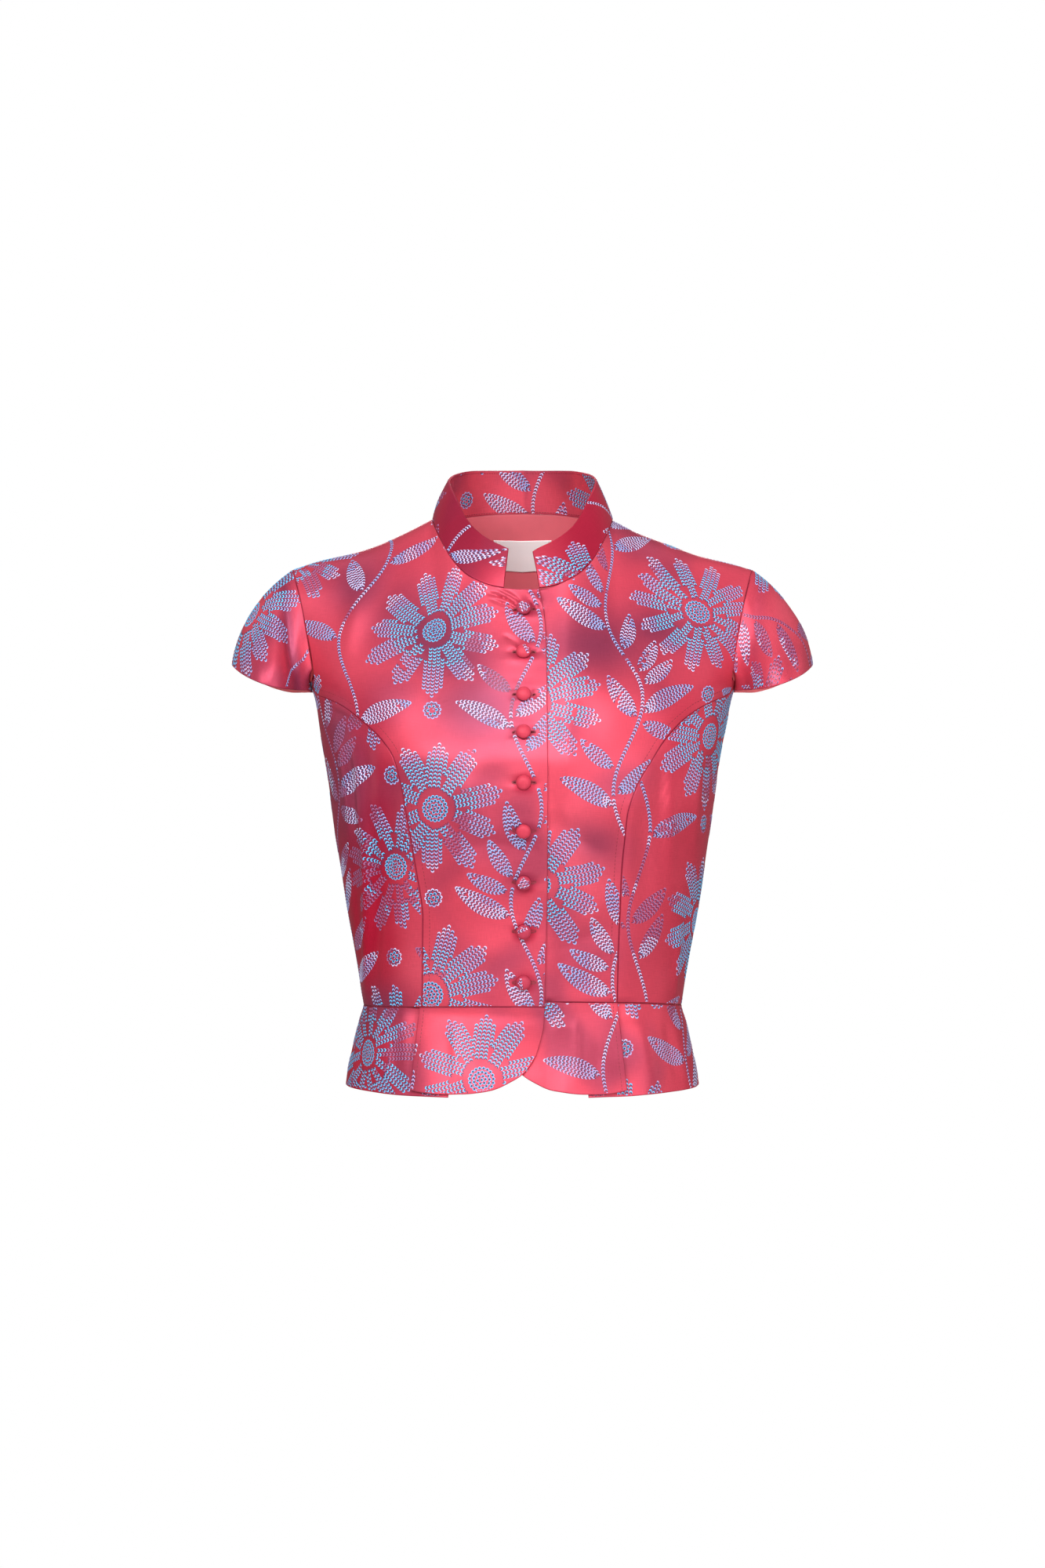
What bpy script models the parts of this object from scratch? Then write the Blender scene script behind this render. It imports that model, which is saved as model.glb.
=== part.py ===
# Fitted cap-sleeve top with a stand collar, princess seams, nine covered buttons
# and a short lapped peplum. Metres, +Z up, the front faces -Y, the wearer's left is +X.
# The origin lies midway between the two points where the shoulder seams meet the neck.
import bpy
import numpy as np
from mathutils import Matrix, Vector

# ---------------------------------------------------------------- driving sizes
CLOTH = 0.0015          # wall of the body, sleeve and peplum pieces
COLLAR_WALL = 0.0020    # wall of the stand collar, which is stiffened
FACING_WALL = 0.0010    # wall of the back neck facing and of the label
SEAM = 0.00017          # each piece stops this far short of its seam line
LAP_STEP = 0.0025       # how far a lapped-under edge lies inside the one over it
ARMPIT_Z = -0.145       # height where the body rings hand over to the shoulder arch
ARCH = 0.20             # metres of chart height for one radian of shoulder arch
ROUND = 2.3             # ring exponent: 2 is an ellipse, more is squarer
SHOULDER_TIP = 0.1875   # half distance between the shoulder points
NECK_SIDE = 0.0739      # half distance between the neck points
WAIST_FRONT, WAIST_SIDE = -0.3915, -0.3950
WAIST_STEP = 0.0040     # how much higher the left front's waist seam sits beside the lap
SIDE_SEAM = np.radians(92.0)
UNDERARM_Z = -0.1340
BUTTON_RADIUS, BUTTON_HEIGHT = 0.0058, 0.0050
BUTTON_X = 0.0008
BUTTON_Z = (-0.0765, -0.1116, -0.1454, -0.1751, -0.2145, -0.2524, -0.2929, -0.3318, -0.3722)
LABEL_WIDTH, LABEL_HEIGHT, LABEL_Z = 0.050, 0.026, -0.0235
UNDERLAY = 0.030        # how far a side peplum piece runs on under the front one

# chart height, half width, front depth, back depth
BODY = np.array([
    (-0.251, 0.1290, 0.0900, 0.0720),
    (-0.225, 0.1332, 0.0912, 0.0730),
    (-0.186, 0.1402, 0.0955, 0.0765),
    (-0.148, 0.1467, 0.1030, 0.0830),
    (-0.109, 0.1530, 0.1120, 0.0905),
    (-0.083, 0.1570, 0.1160, 0.0950),
    (-0.058, 0.1606, 0.1155, 0.0990),
    (-0.026, 0.1660, 0.1080, 0.1035),
    (0.000, 0.1700, 0.1000, 0.1055),
    (0.050, 0.1800, 0.0835, 0.1075),
    (0.100, 0.1920, 0.0715, 0.1080),
    (0.160, 0.2050, 0.0645, 0.1080),
    (0.240, 0.2200, 0.0625, 0.1080),
    (0.316, 0.2300, 0.0620, 0.1080)])

# half distance from the centre, height of the shoulder ridge (inside the neck it only steers the rings)
RIDGE = np.array([
    (0.000, 0.0700), (0.030, 0.0580), (0.045, 0.0430), (0.060, 0.0210), (0.0739, 0.0000),
    (0.0797, -0.0032), (0.0944, -0.0109), (0.1120, -0.0186), (0.1267, -0.0237),
    (0.1470, -0.0300), (0.1725, -0.0365), (0.1875, -0.0405), (0.2100, -0.0460)])

# half distance from the centre, height
NECK_FRONT = np.array([
    (0.0000, -0.0603), (0.0134, -0.0597), (0.0246, -0.0578), (0.0338, -0.0545),
    (0.0457, -0.0475), (0.0569, -0.0352), (0.0645, -0.0220), (0.0700, -0.0105), (0.0739, 0.0)])
NECK_BACK = np.array([
    (0.0000, 0.0112), (0.0200, 0.0106), (0.0400, 0.0086), (0.0560, 0.0056), (0.0680, 0.0025), (0.0739, 0.0)])

# height, half distance from the centre
ARMHOLE_FRONT = np.array([
    (-0.1330, 0.1689), (-0.1230, 0.1697), (-0.1050, 0.1722), (-0.0870, 0.1755),
    (-0.0700, 0.1790), (-0.0520, 0.1838), (-0.0410, 0.1873)])
ARMHOLE_BACK = np.array([
    (-0.1330, 0.1696), (-0.1150, 0.1740), (-0.0950, 0.1775), (-0.0750, 0.1805),
    (-0.0550, 0.1842), (-0.0410, 0.1873)])

# height, distance from the centre on the wearer's right, on the wearer's left
PRINCESS = np.array([
    (-0.1310, 0.1691, 0.1691), (-0.1360, 0.1694, 0.1690), (-0.1425, 0.1676, 0.1668), (-0.1500, 0.1500, 0.1510),
    (-0.1560, 0.1395, 0.1395), (-0.1655, 0.1275, 0.1270), (-0.1800, 0.1118, 0.1128),
    (-0.1955, 0.1016, 0.1030), (-0.2170, 0.0958, 0.0900), (-0.2400, 0.0917, 0.0822),
    (-0.2600, 0.0880, 0.0803), (-0.2900, 0.0830, 0.0778), (-0.3216, 0.0790, 0.0768),
    (-0.3550, 0.0793, 0.0756), (-0.3950, 0.0800, 0.0748)])

# height, distance of the lapped front edge from the centre line
LAP_EDGE = np.array([
    (-0.4600, 0.0176), (-0.3917, 0.0176), (-0.3600, 0.0184), (-0.3000, 0.0196), (-0.2200, 0.0198),
    (-0.1500, 0.0196), (-0.0950, 0.0187), (-0.0750, 0.0165), (-0.0597, 0.0134)])

# height, half width, front depth, back depth
PEPLUM = np.array([
    (-0.4700, 0.1462, 0.1085, 0.0990), (-0.4602, 0.1443, 0.1060, 0.0960), (-0.4461, 0.1421, 0.1022, 0.0915),
    (-0.4333, 0.1389, 0.0985, 0.0870), (-0.4205, 0.1357, 0.0955, 0.0825), (-0.4077, 0.1325, 0.0928, 0.0775),
    (-0.3960, 0.1292, 0.0902, 0.0728), (-0.3850, 0.1285, 0.0895, 0.0715)])

# rounded front corner of the peplum: signed distance past the centre line, height
PEPLUM_CORNER = np.array([
    (0.0105, -0.4290), (0.0060, -0.4368), (0.0000, -0.4437), (-0.0083, -0.4490), (-0.0249, -0.4560),
    (-0.0488, -0.4592), (-0.0650, -0.4596), (-0.0780, -0.4586), (-0.0852, -0.4572)])
HEM_SIDE, HEM_BACK = -0.4586, -0.4600

# the soft flutes of the peplum: angle from centre front in degrees, half spread, how far out
FLUTES = np.array([
    (-148.0, 13.0, 0.0034), (-118.0, 11.0, 0.0028), (-74.0, 10.0, 0.0014), (-55.0, 7.0, -0.0012),
    (-24.0, 8.0, 0.0016), (17.0, 7.0, 0.0012), (52.0, 7.0, -0.0014), (71.0, 11.0, 0.0016),
    (112.0, 12.0, 0.0030), (139.0, 10.0, -0.0016), (163.0, 12.0, 0.0036)])

# top edge of the collar: half distance from the centre, depth side (-1 front, 1 back), height
COLLAR_TOP_HALF, COLLAR_TOP_FRONT, COLLAR_TOP_BACK = 0.0605, 0.0570, 0.0640
# plan angle from centre front in degrees, height of the collar's top edge
COLLAR_TOP = np.array([
    (7.0, -0.0300), (10.5, -0.0275), (25.0, -0.0200), (40.0, -0.0097), (47.5, -0.0024),
    (63.0, 0.0158), (78.0, 0.0272), (95.0, 0.0345), (118.0, 0.0410), (140.0, 0.0452), (180.0, 0.0468)])
COLLAR_ENDS = {"left": (0.0134, 0.0078), "right": (0.0147, 0.0110)}   # at the seam, at the top

# sleeve hem: plan ellipse and height by distance from the centre
SLEEVE_HEM_IN, SLEEVE_HEM_OUT, SLEEVE_HEM_HALF = 0.1760, 0.2368, 0.0600
SLEEVE_HEM = np.array([
    (0.1700, -0.1398), (0.1760, -0.1402), (0.1895, -0.1398), (0.2040, -0.1368), (0.2120, -0.1341),
    (0.2246, -0.1281), (0.2330, -0.1222), (0.2368, -0.1186)])


# ---------------------------------------------------------------- curves
def smooth(table, column, at):
    """A monotone smooth curve through table[:, 0] -> table[:, column], held flat past its ends."""
    x, y = table[:, 0], table[:, column]
    if x[0] > x[-1]:
        x, y = x[::-1], y[::-1]
    step, rise = np.diff(x), np.diff(y) / np.diff(x)
    slope = np.zeros(len(x))
    same = rise[:-1] * rise[1:] > 0
    w1, w2 = 2 * step[1:] + step[:-1], step[1:] + 2 * step[:-1]
    safe = np.where(same, rise[:-1] * rise[1:], 1.0)
    slope[1:-1] = np.where(same, (w1 + w2) * safe / np.where(same, w1 * rise[1:] + w2 * rise[:-1], 1.0), 0.0)
    slope[0], slope[-1] = rise[0], rise[-1]
    at = np.clip(np.asarray(at, float), x[0], x[-1])
    i = np.clip(np.searchsorted(x, at) - 1, 0, len(x) - 2)
    h = step[i]
    s = (at - x[i]) / h
    return ((2 * s**3 - 3 * s**2 + 1) * y[i] + (s**3 - 2 * s**2 + s) * h * slope[i]
            + (3 * s**2 - 2 * s**3) * y[i + 1] + (s**3 - s**2) * h * slope[i + 1])


def ramp(at, low, high):
    """0 at low, 1 at high, smooth between."""
    s = np.clip((np.asarray(at, float) - low) / (high - low), 0, 1)
    return s * s * (3 - 2 * s)


# ---------------------------------------------------------------- the body as a chart (turn, height)
def ring(turn):
    """Unit ring: sideways and forward shares at this turn from centre front."""
    s, c = np.sin(turn), np.cos(turn)
    r = (np.abs(s) ** ROUND + np.abs(c) ** ROUND) ** (-1 / ROUND)
    return r * s, r * c


def body(turn, high):
    """A point of the body's outer side. high is metres below the armpit, or arch angle times ARCH above it."""
    turn, high = np.broadcast_arrays(np.asarray(turn, float), np.asarray(high, float))
    half, front, back = (smooth(BODY, i, high) for i in (1, 2, 3))
    s, c = ring(turn)
    x = half * s
    top = smooth(RIDGE, 1, np.abs(x)) - ARMPIT_Z
    arch = np.clip(high, 0, None) / ARCH
    y = -np.where(c > 0, front, back) * c * np.cos(arch)
    low = np.minimum(high, 0)
    z = ARMPIT_Z + top * np.sin(arch) + low + (top / ARCH - 1) * low * np.exp(low / 0.03)
    return np.stack([x, y, z], -1)


def chart(x, z, behind=False):
    """The chart place of a point given as the front view (or the back view) has it."""
    x, z = np.broadcast_arrays(np.asarray(x, float), np.asarray(z, float))
    top = smooth(RIDGE, 1, np.abs(x)) - ARMPIT_Z
    up = np.arcsin(np.clip((z - ARMPIT_Z) / top, 0, 1)) * ARCH
    low = np.minimum(z - ARMPIT_Z, 0)
    down = low
    for _ in range(40):
        down = low - (top / ARCH - 1) * down * np.exp(down / 0.03)
    high = np.where(z > ARMPIT_Z, up, down)
    u = np.clip(np.abs(x) / smooth(BODY, 1, high), 0, 0.99999)
    turn = np.arctan2(u, (1 - u**ROUND) ** (1 / ROUND))
    turn = np.where(behind, np.pi - turn, turn)
    return np.stack([np.where(x < 0, -turn, turn), high], -1)


def waist_z(turn, side=-1):
    """Height of the waist seam. The wearer's left front has it a little higher."""
    step = WAIST_STEP * (1 - ramp(turn, 0.5, 1.55)) if side > 0 else 0.0
    return WAIST_FRONT + (WAIST_SIDE - WAIST_FRONT) * np.sin(turn) ** 2 + step


def waist_high(turn, side=-1):
    """Chart height of the waist seam."""
    return waist_z(turn, side) - ARMPIT_Z


def patch(bottom, top, left, right):
    """A grid filled in between four edges given as chart points, [across, up]."""
    u = np.linspace(0, 1, len(bottom))[:, None, None]
    v = np.linspace(0, 1, len(left))[None, :, None]
    return ((1 - v) * bottom[:, None] + v * top[:, None] + (1 - u) * left[None] + u * right[None]
            - (1 - u) * (1 - v) * bottom[0] - u * (1 - v) * bottom[-1] - (1 - u) * v * top[0] - u * v * top[-1])


def facing_out(normal, points):
    """Unit normals turned away from the body's long axis."""
    normal = normal / (np.linalg.norm(normal, axis=-1, keepdims=True) + 1e-12)
    away = points * (1, 1, 0) + (0, 0, 0.03)
    return np.where((normal * away).sum(-1, keepdims=True) < 0, -normal, normal)


def normals(surface, places):
    """Unit normals of body() or peplum() at chart places."""
    a, b, e = places[..., 0], places[..., 1], 1e-4
    along = surface(a + e, b) - surface(a - e, b)
    up = surface(a, b + e) - surface(a, b - e)
    return facing_out(np.cross(along, up), surface(a, b))


def grid_normals(grid, loop=False):
    """Unit normals of a free grid of points."""
    if loop:
        du = np.roll(grid, -1, axis=0) - np.roll(grid, 1, axis=0)
    else:
        du = np.gradient(grid, axis=0)
    n = np.cross(du, np.gradient(grid, axis=1))
    return n / (np.linalg.norm(n, axis=-1, keepdims=True) + 1e-12)


def drawn_in(grid, left=SEAM, right=SEAM, bottom=SEAM, top=SEAM):
    """The grid with each side moved in from its seam line."""
    out = grid.copy()

    def move(edge, inner, by):
        t = np.gradient(edge, axis=0)
        t /= np.linalg.norm(t, axis=-1, keepdims=True) + 1e-12
        d = inner - edge
        d = d - (d * t).sum(-1, keepdims=True) * t
        d /= np.linalg.norm(d, axis=-1, keepdims=True) + 1e-12
        return edge + d * by

    out[0] = move(out[0], out[1], left)
    out[-1] = move(out[-1], out[-2], right)
    out[:, 0] = move(out[:, 0], out[:, 1], bottom)
    out[:, -1] = move(out[:, -1], out[:, -2], top)
    return out


# ---------------------------------------------------------------- pieces of the body
def side_of(name):
    return -1.0 if name.endswith("right") else 1.0


def lap_x(z):
    return smooth(LAP_EDGE, 1, z)


TOP_HIGH = ARCH * np.pi / 2
SEAM_START = -0.1310    # height where the princess seam meets the armhole


def underarm_high():
    return float(chart(0.1698, UNDERARM_Z)[1])


def princess(side, steps):
    """Chart points of the princess seam from the waist to the armhole."""
    low = np.interp(np.linspace(0, 1, steps + 1), [0, 0.36, 0.78, 0.92, 1], [-0.3935, -0.2700, -0.1740, -0.1450, SEAM_START])
    seam = chart(side * smooth(PRINCESS, 1 if side < 0 else 2, low), low)
    seam[0, 1] = waist_high(seam[0, 0], side)
    return seam


def armhole(table, high, behind=False):
    """Chart points of an armhole edge on the wearer's left at these chart heights."""
    x = np.full(np.shape(high), 0.175)
    for _ in range(30):
        z = ARMPIT_Z + (smooth(RIDGE, 1, x) - ARMPIT_Z) * np.sin(np.asarray(high) / ARCH)
        x = smooth(table, 1, z)
    u = x / smooth(BODY, 1, high)
    turn = np.arctan2(u, (1 - np.clip(u, 0, 0.99999) ** ROUND) ** (1 / ROUND))
    return np.stack([np.pi - turn if behind else turn, high], -1)


def front_places(side, fine=1, across=(7, 6), up=(13, 7)):
    """A front from the lapped edge to the princess seam and the armhole. side is -1 for the wearer's right."""
    n_neck, n_shoulder, n_low, n_arm = (n * fine for n in across + up)
    z = np.concatenate([np.linspace(WAIST_FRONT, -0.165, n_low, endpoint=False),
                        np.linspace(-0.165, NECK_FRONT[1, 1], n_arm + 1)])
    left = chart(-side * lap_x(z), z)
    seam = princess(side, n_low)
    start = float(seam[-1, 1])
    hole = armhole(ARMHOLE_FRONT, start + (TOP_HIGH - start) * np.linspace(0, 1, n_arm + 1))
    hole[:, 0] *= side
    right = np.concatenate([seam[:-1], hole])
    right[n_low, 0] = seam[-1, 0]
    near = -lap_x(NECK_FRONT[1, 1])
    bend = np.sin(np.linspace(0, 1, n_neck + 1) * np.pi / 2) ** 0.9
    x = near + (NECK_SIDE - near) * bend
    neck = chart(side * x, smooth(NECK_FRONT, 1, np.abs(x)))
    far = np.linspace(NECK_SIDE, SHOULDER_TIP, n_shoulder + 1)[1:]
    top = np.concatenate([neck, chart(side * far, smooth(RIDGE, 1, far))])
    top[n_neck:, 1] = TOP_HIGH
    right[-1] = top[-1]
    left[-1] = top[0]
    share = np.linspace(0, 1, n_neck + n_shoulder + 1)
    bottom = left[0] + (right[0] - left[0]) * share[:, None]
    bottom[:, 1] = waist_high(bottom[:, 0], side)
    left[0] = bottom[0]
    return patch(bottom, top, left, right)


def under_step(x, z):
    """How far the left front lies in under the right one."""
    return LAP_STEP * (1 - ramp(x, lap_x(z) + 0.001, lap_x(z) + 0.017))


def front_grid(side, fine=1):
    places = front_places(side, fine)
    points = body(places[..., 0], places[..., 1])
    normal = normals(body, places)
    if side > 0:
        points = points - normal * under_step(points[..., 0], points[..., 2])[..., None]
    return points, normal, places


def side_front_grid(side, fine=1, across=6, up=13):
    """A side front from the princess seam to the side seam."""
    across, up = across * fine, up * fine
    left = princess(side, up)
    s = np.linspace(0, 1, up + 1)
    low = waist_high(SIDE_SEAM)
    right = np.stack([np.full(up + 1, side * SIDE_SEAM), low + (underarm_high() - low) * s], -1)
    u = np.linspace(0, 1, across + 1)
    bottom = left[0] + (right[0] - left[0]) * u[:, None]
    bottom[:, 1] = waist_high(bottom[:, 0], side)
    top = left[-1] + (right[-1] - left[-1]) * u[:, None]
    top[:, 1] = left[-1, 1] + (right[-1, 1] - left[-1, 1]) * (1 - (1 - u) ** 2)
    places = patch(bottom, top, left, right)
    return body(places[..., 0], places[..., 1]), normals(body, places), places


def back_grid(fine=1, across=(5, 10, 5), up=(8, 11)):
    """The back from side seam to side seam. It runs from the wearer's left to the right."""
    n_shoulder, n_neck = across[0] * fine, across[1] * fine
    n_low, n_arm = (n * fine for n in up)
    low, armpit = waist_high(SIDE_SEAM), underarm_high()
    seam = np.stack([np.full(n_low, SIDE_SEAM), low + (armpit - low) * np.arange(n_low) / n_low], -1)
    high = armpit + (TOP_HIGH - armpit) * np.linspace(0, 1, n_arm + 1)
    hole = armhole(ARMHOLE_BACK, high, behind=True)
    hole[:, 0] = SIDE_SEAM + (hole[:, 0] - SIDE_SEAM) * ramp(high, armpit - 0.012, armpit + 0.022)
    hole[:, 1] = high
    hole[0] = SIDE_SEAM, armpit
    left = np.concatenate([seam, hole])
    far = np.linspace(SHOULDER_TIP, NECK_SIDE, n_shoulder, endpoint=False)
    shoulder = chart(far, smooth(RIDGE, 1, far), behind=True)
    shoulder[:, 1] = TOP_HIGH
    bend = np.cos(np.linspace(0, np.pi, n_neck + 1))
    neck = chart(NECK_SIDE * np.abs(bend), smooth(NECK_BACK, 1, NECK_SIDE * np.abs(bend)), behind=True)
    neck[:, 0] = np.where(bend < -1e-9, 2 * np.pi - neck[:, 0], neck[:, 0])
    neck[0, 1] = neck[-1, 1] = TOP_HIGH
    other = shoulder[::-1].copy()
    other[:, 0] = 2 * np.pi - other[:, 0]
    top = np.concatenate([shoulder, neck, other])
    left[-1] = top[0]
    right = left.copy()
    right[:, 0] = 2 * np.pi - right[:, 0]
    u = np.linspace(0, 1, len(top))
    bottom = left[0] + (right[0] - left[0]) * u[:, None]
    bottom[:, 1] = waist_high(bottom[:, 0])
    places = patch(bottom, top, left, right)
    return body(places[..., 0], places[..., 1]), normals(body, places), places


def facing_grid(fine=1):
    """Plain facing inside the back neck, made from the back's own points moved in."""
    points, normal, places = back_grid(fine)
    pick = (slice(3 * fine, 17 * fine + 1), slice(12 * fine, None))
    return (points - normal * (CLOTH + 0.0004))[pick], normal[pick], places[pick]


def between(grid, i, j):
    """Points of a grid at broken indices."""
    i0, j0 = (np.clip(np.floor(a).astype(int), 0, n - 2) for a, n in ((i, grid.shape[0]), (j, grid.shape[1])))
    a, b = (i - i0)[..., None], (j - j0)[..., None]
    return ((1 - a) * (1 - b) * grid[i0, j0] + a * (1 - b) * grid[i0 + 1, j0]
            + (1 - a) * b * grid[i0, j0 + 1] + a * b * grid[i0 + 1, j0 + 1])


def label_grid(fine=1):
    """The blank label on the facing, made from the facing's own points moved in."""
    points, normal, places = facing_grid()
    mid = (points.shape[0] - 1) // 2
    rows = np.arange(points.shape[1])
    reach = (LABEL_WIDTH / 2) / np.abs(points[mid + 1, -2, 0])
    top, bottom = np.interp([LABEL_Z + LABEL_HEIGHT / 2, LABEL_Z - LABEL_HEIGHT / 2], points[mid, :, 2], rows)
    i = np.unique(np.concatenate([mid + np.linspace(-reach, reach, 7 * fine), [mid - 1, mid, mid + 1]]))
    j = np.unique(np.concatenate([np.linspace(bottom, top, 3 * fine + 1), rows[(rows > bottom + 0.05) & (rows < top - 0.05)]]))
    i, j = np.meshgrid(i, j, indexing="ij")
    inward = between(normal, i, j)
    inward /= np.linalg.norm(inward, axis=-1, keepdims=True)
    return between(points, i, j) - inward * (FACING_WALL + 0.0004), inward, np.stack([i, j], -1)


# ---------------------------------------------------------------- peplum
def peplum(turn, z):
    """A point of the peplum's outer side."""
    turn, z = np.broadcast_arrays(np.asarray(turn, float), np.asarray(z, float))
    half, front, back = (smooth(PEPLUM, i, z) for i in (1, 2, 3))
    s, c = ring(turn)
    out = np.zeros_like(z)
    fall = np.clip((waist_z(turn) - z) / 0.068, 0, 1.1)
    degrees = np.degrees((turn + np.pi) % (2 * np.pi) - np.pi)
    for at, wide, high in FLUTES:
        off = (degrees - at + 180) % 360 - 180
        out = out + high * np.exp(-(off / wide) ** 2) * fall**1.4
    y = -np.where(c > 0, front, back) * c
    x = half * s
    reach = np.sqrt(x**2 + y**2)
    grow = 1 + out / reach
    return np.stack([x * grow, y * grow, z], -1)


def peplum_turn(x, z):
    u = np.clip(np.abs(x) / smooth(PEPLUM, 1, z), 0, 0.99999)
    turn = np.arctan2(u, (1 - u**ROUND) ** (1 / ROUND))
    return np.where(x < 0, -turn, turn)


def princess_hem(side):
    """Where the front peplum piece ends: distance from the centre at the waist and at the hem."""
    return (0.0822, 0.0881) if side < 0 else (0.0755, 0.0822)


def peplum_front_grid(side, fine=1, across=11, up=6):
    """A front peplum piece with its rounded front corner."""
    across, up = across * fine, up * fine
    corner = PEPLUM_CORNER.copy()
    at_waist, at_hem = princess_hem(side)
    corner[-1, 0], corner[-2, 0] = -at_hem, -at_hem + 0.008
    v = np.linspace(0, 1, up + 1)
    edge_z = WAIST_FRONT + (corner[0, 1] - WAIST_FRONT) * v
    edge_x = smooth(np.array([(0, 0.0176), (0.4, 0.0166), (0.75, 0.0136), (1, corner[0, 0])]), 1, v)
    inner = np.stack([-side * edge_x, edge_z], -1)
    waist = waist_z(0.6, side)
    outer = np.stack([side * (at_waist + (at_hem - at_waist) * v), waist + (corner[-1, 1] - waist) * v], -1)
    run = np.append(0, np.cumsum(np.hypot(*np.diff(corner, axis=0).T)))
    u = np.linspace(0, 1, across + 1)
    along = run[-1] * (0.35 * u**1.6 + 0.65 * u)
    hem = np.stack([-side * smooth(np.column_stack([run, corner[:, 0]]), 1, along),
                    smooth(np.column_stack([run, corner[:, 1]]), 1, along)], -1)
    waist_x = inner[0, 0] + (outer[0, 0] - inner[0, 0]) * u
    waist = np.stack([waist_x, waist_z(peplum_turn(waist_x, WAIST_FRONT), side)], -1)
    inner[0], outer[0] = waist[0], waist[-1]
    flat = patch(waist, hem, inner, outer)
    places = np.stack([peplum_turn(flat[..., 0], flat[..., 1]), flat[..., 1]], -1)
    points, normal = peplum(places[..., 0], places[..., 1]), normals(peplum, places)
    fall = np.clip((waist_z(places[..., 0]) - flat[..., 1]) / 0.068, 0, 1)
    lift = 0.0016 * fall * ramp(u, 0.75, 1.0)[:, None]
    if side > 0:
        lift = lift - (LAP_STEP + 0.0006 * fall) * (1 - ramp(flat[..., 0], 0.0186, 0.0330))
    return points + normal * lift[..., None], normal, places


def peplum_side_grid(side, fine=1, across=(4, 9), up=5):
    """A side peplum piece: its front part runs on under the front piece."""
    at_waist, at_hem = princess_hem(side)
    v = np.linspace(0, 1, up * fine + 1)[None]
    waist_turn = peplum_turn(at_waist, WAIST_FRONT)
    cover = at_waist + (at_hem - at_waist) * v
    waist = waist_z(0.6, side)
    z_front = waist + (-0.4613 - waist) * v
    t_cover = peplum_turn(cover, z_front)
    t_start = peplum_turn(cover - UNDERLAY, z_front)
    low = np.linspace(0, 1, across[0] * fine + 1)[:-1, None]
    high = np.linspace(0, 1, across[1] * fine + 1)[:, None]
    turn = np.concatenate([t_start + (t_cover - t_start) * low, t_cover + (SIDE_SEAM - t_cover) * high])
    hem = -0.4613 + (HEM_SIDE + 0.4613) * ramp(turn, waist_turn, SIDE_SEAM)
    z = waist_z(turn, side) + (hem - waist_z(turn, side)) * v
    places = np.stack([side * turn, z], -1)
    points, normal = peplum(places[..., 0], z), normals(peplum, places)
    step = 0.0024 * (1 - ramp((turn - t_cover) * 0.125, 0.001, 0.018))
    return points - normal * step[..., None], normal, places


def peplum_back_grid(fine=1, across=22, up=5):
    turn = np.linspace(SIDE_SEAM, 2 * np.pi - SIDE_SEAM, across * fine + 1)[:, None]
    v = np.linspace(0, 1, up * fine + 1)[None]
    z = waist_z(turn) + (HEM_BACK - waist_z(turn)) * v
    places = np.stack([turn + np.zeros_like(v), z], -1)
    return peplum(places[..., 0], z), normals(peplum, places), places


# ---------------------------------------------------------------- collar
def collar_grid(fine=1, across=(12, 12), up=3):
    """The stand collar from the wearer's right end round the back to the left end."""
    front, back, up = across[0] * fine, across[1] * fine, up * fine

    def half_edge(side):            # from the centre-front end to the neck point
        end = COLLAR_ENDS["right" if side < 0 else "left"][0]
        x = end + (NECK_SIDE - end) * np.sin(np.linspace(0, 1, front + 1) * np.pi / 2) ** 0.9
        at = chart(side * x, smooth(NECK_FRONT, 1, x))
        at[-1, 1] = TOP_HIGH
        return body(at[:, 0], at[:, 1])

    w = -np.cos(np.linspace(0, np.pi, back + 1))
    at = chart(NECK_SIDE * w, smooth(NECK_BACK, 1, NECK_SIDE * np.abs(w)), behind=True)
    low = np.concatenate([half_edge(-1), body(at[:, 0], at[:, 1])[1:-1], half_edge(1)[::-1]])
    s = np.concatenate([np.linspace(0, 1, front, endpoint=False), np.linspace(1, 2, back, endpoint=False),
                        np.linspace(2, 3, front + 1)])
    right, left = (np.degrees(np.arcsin(COLLAR_ENDS[k][1] / COLLAR_TOP_HALF)) for k in ("right", "left"))
    knots = np.array([(0, right), (0.5, 46.0), (1, 88.0), (1.5, 180.0), (2, 272.0), (2.5, 314.0), (3, 360 - left)])
    degrees = -smooth(knots, 1, s)
    around = np.abs((degrees + 180) % 360 - 180)
    turn = np.radians(degrees)
    depth = np.where(np.cos(turn) > 0, COLLAR_TOP_FRONT, COLLAR_TOP_BACK)
    high = np.stack([COLLAR_TOP_HALF * np.sin(turn), -depth * np.cos(turn), smooth(COLLAR_TOP, 1, around)], -1)
    v = np.linspace(0, 1, up + 1)[None, :, None]
    points = low[:, None] * (1 - v) + high[:, None] * v
    out = points * (1, 1, 0)
    out /= np.linalg.norm(out, axis=-1, keepdims=True)
    points = points + out * (0.0012 * np.sin(np.pi * v))     # a soft outward belly across the stand
    normal = grid_normals(points)
    normal = normal if (normal * out).sum() > 0 else -normal
    return points, normal, np.stack(np.broadcast_arrays(s[:, None], v[..., 0]), -1)


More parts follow.
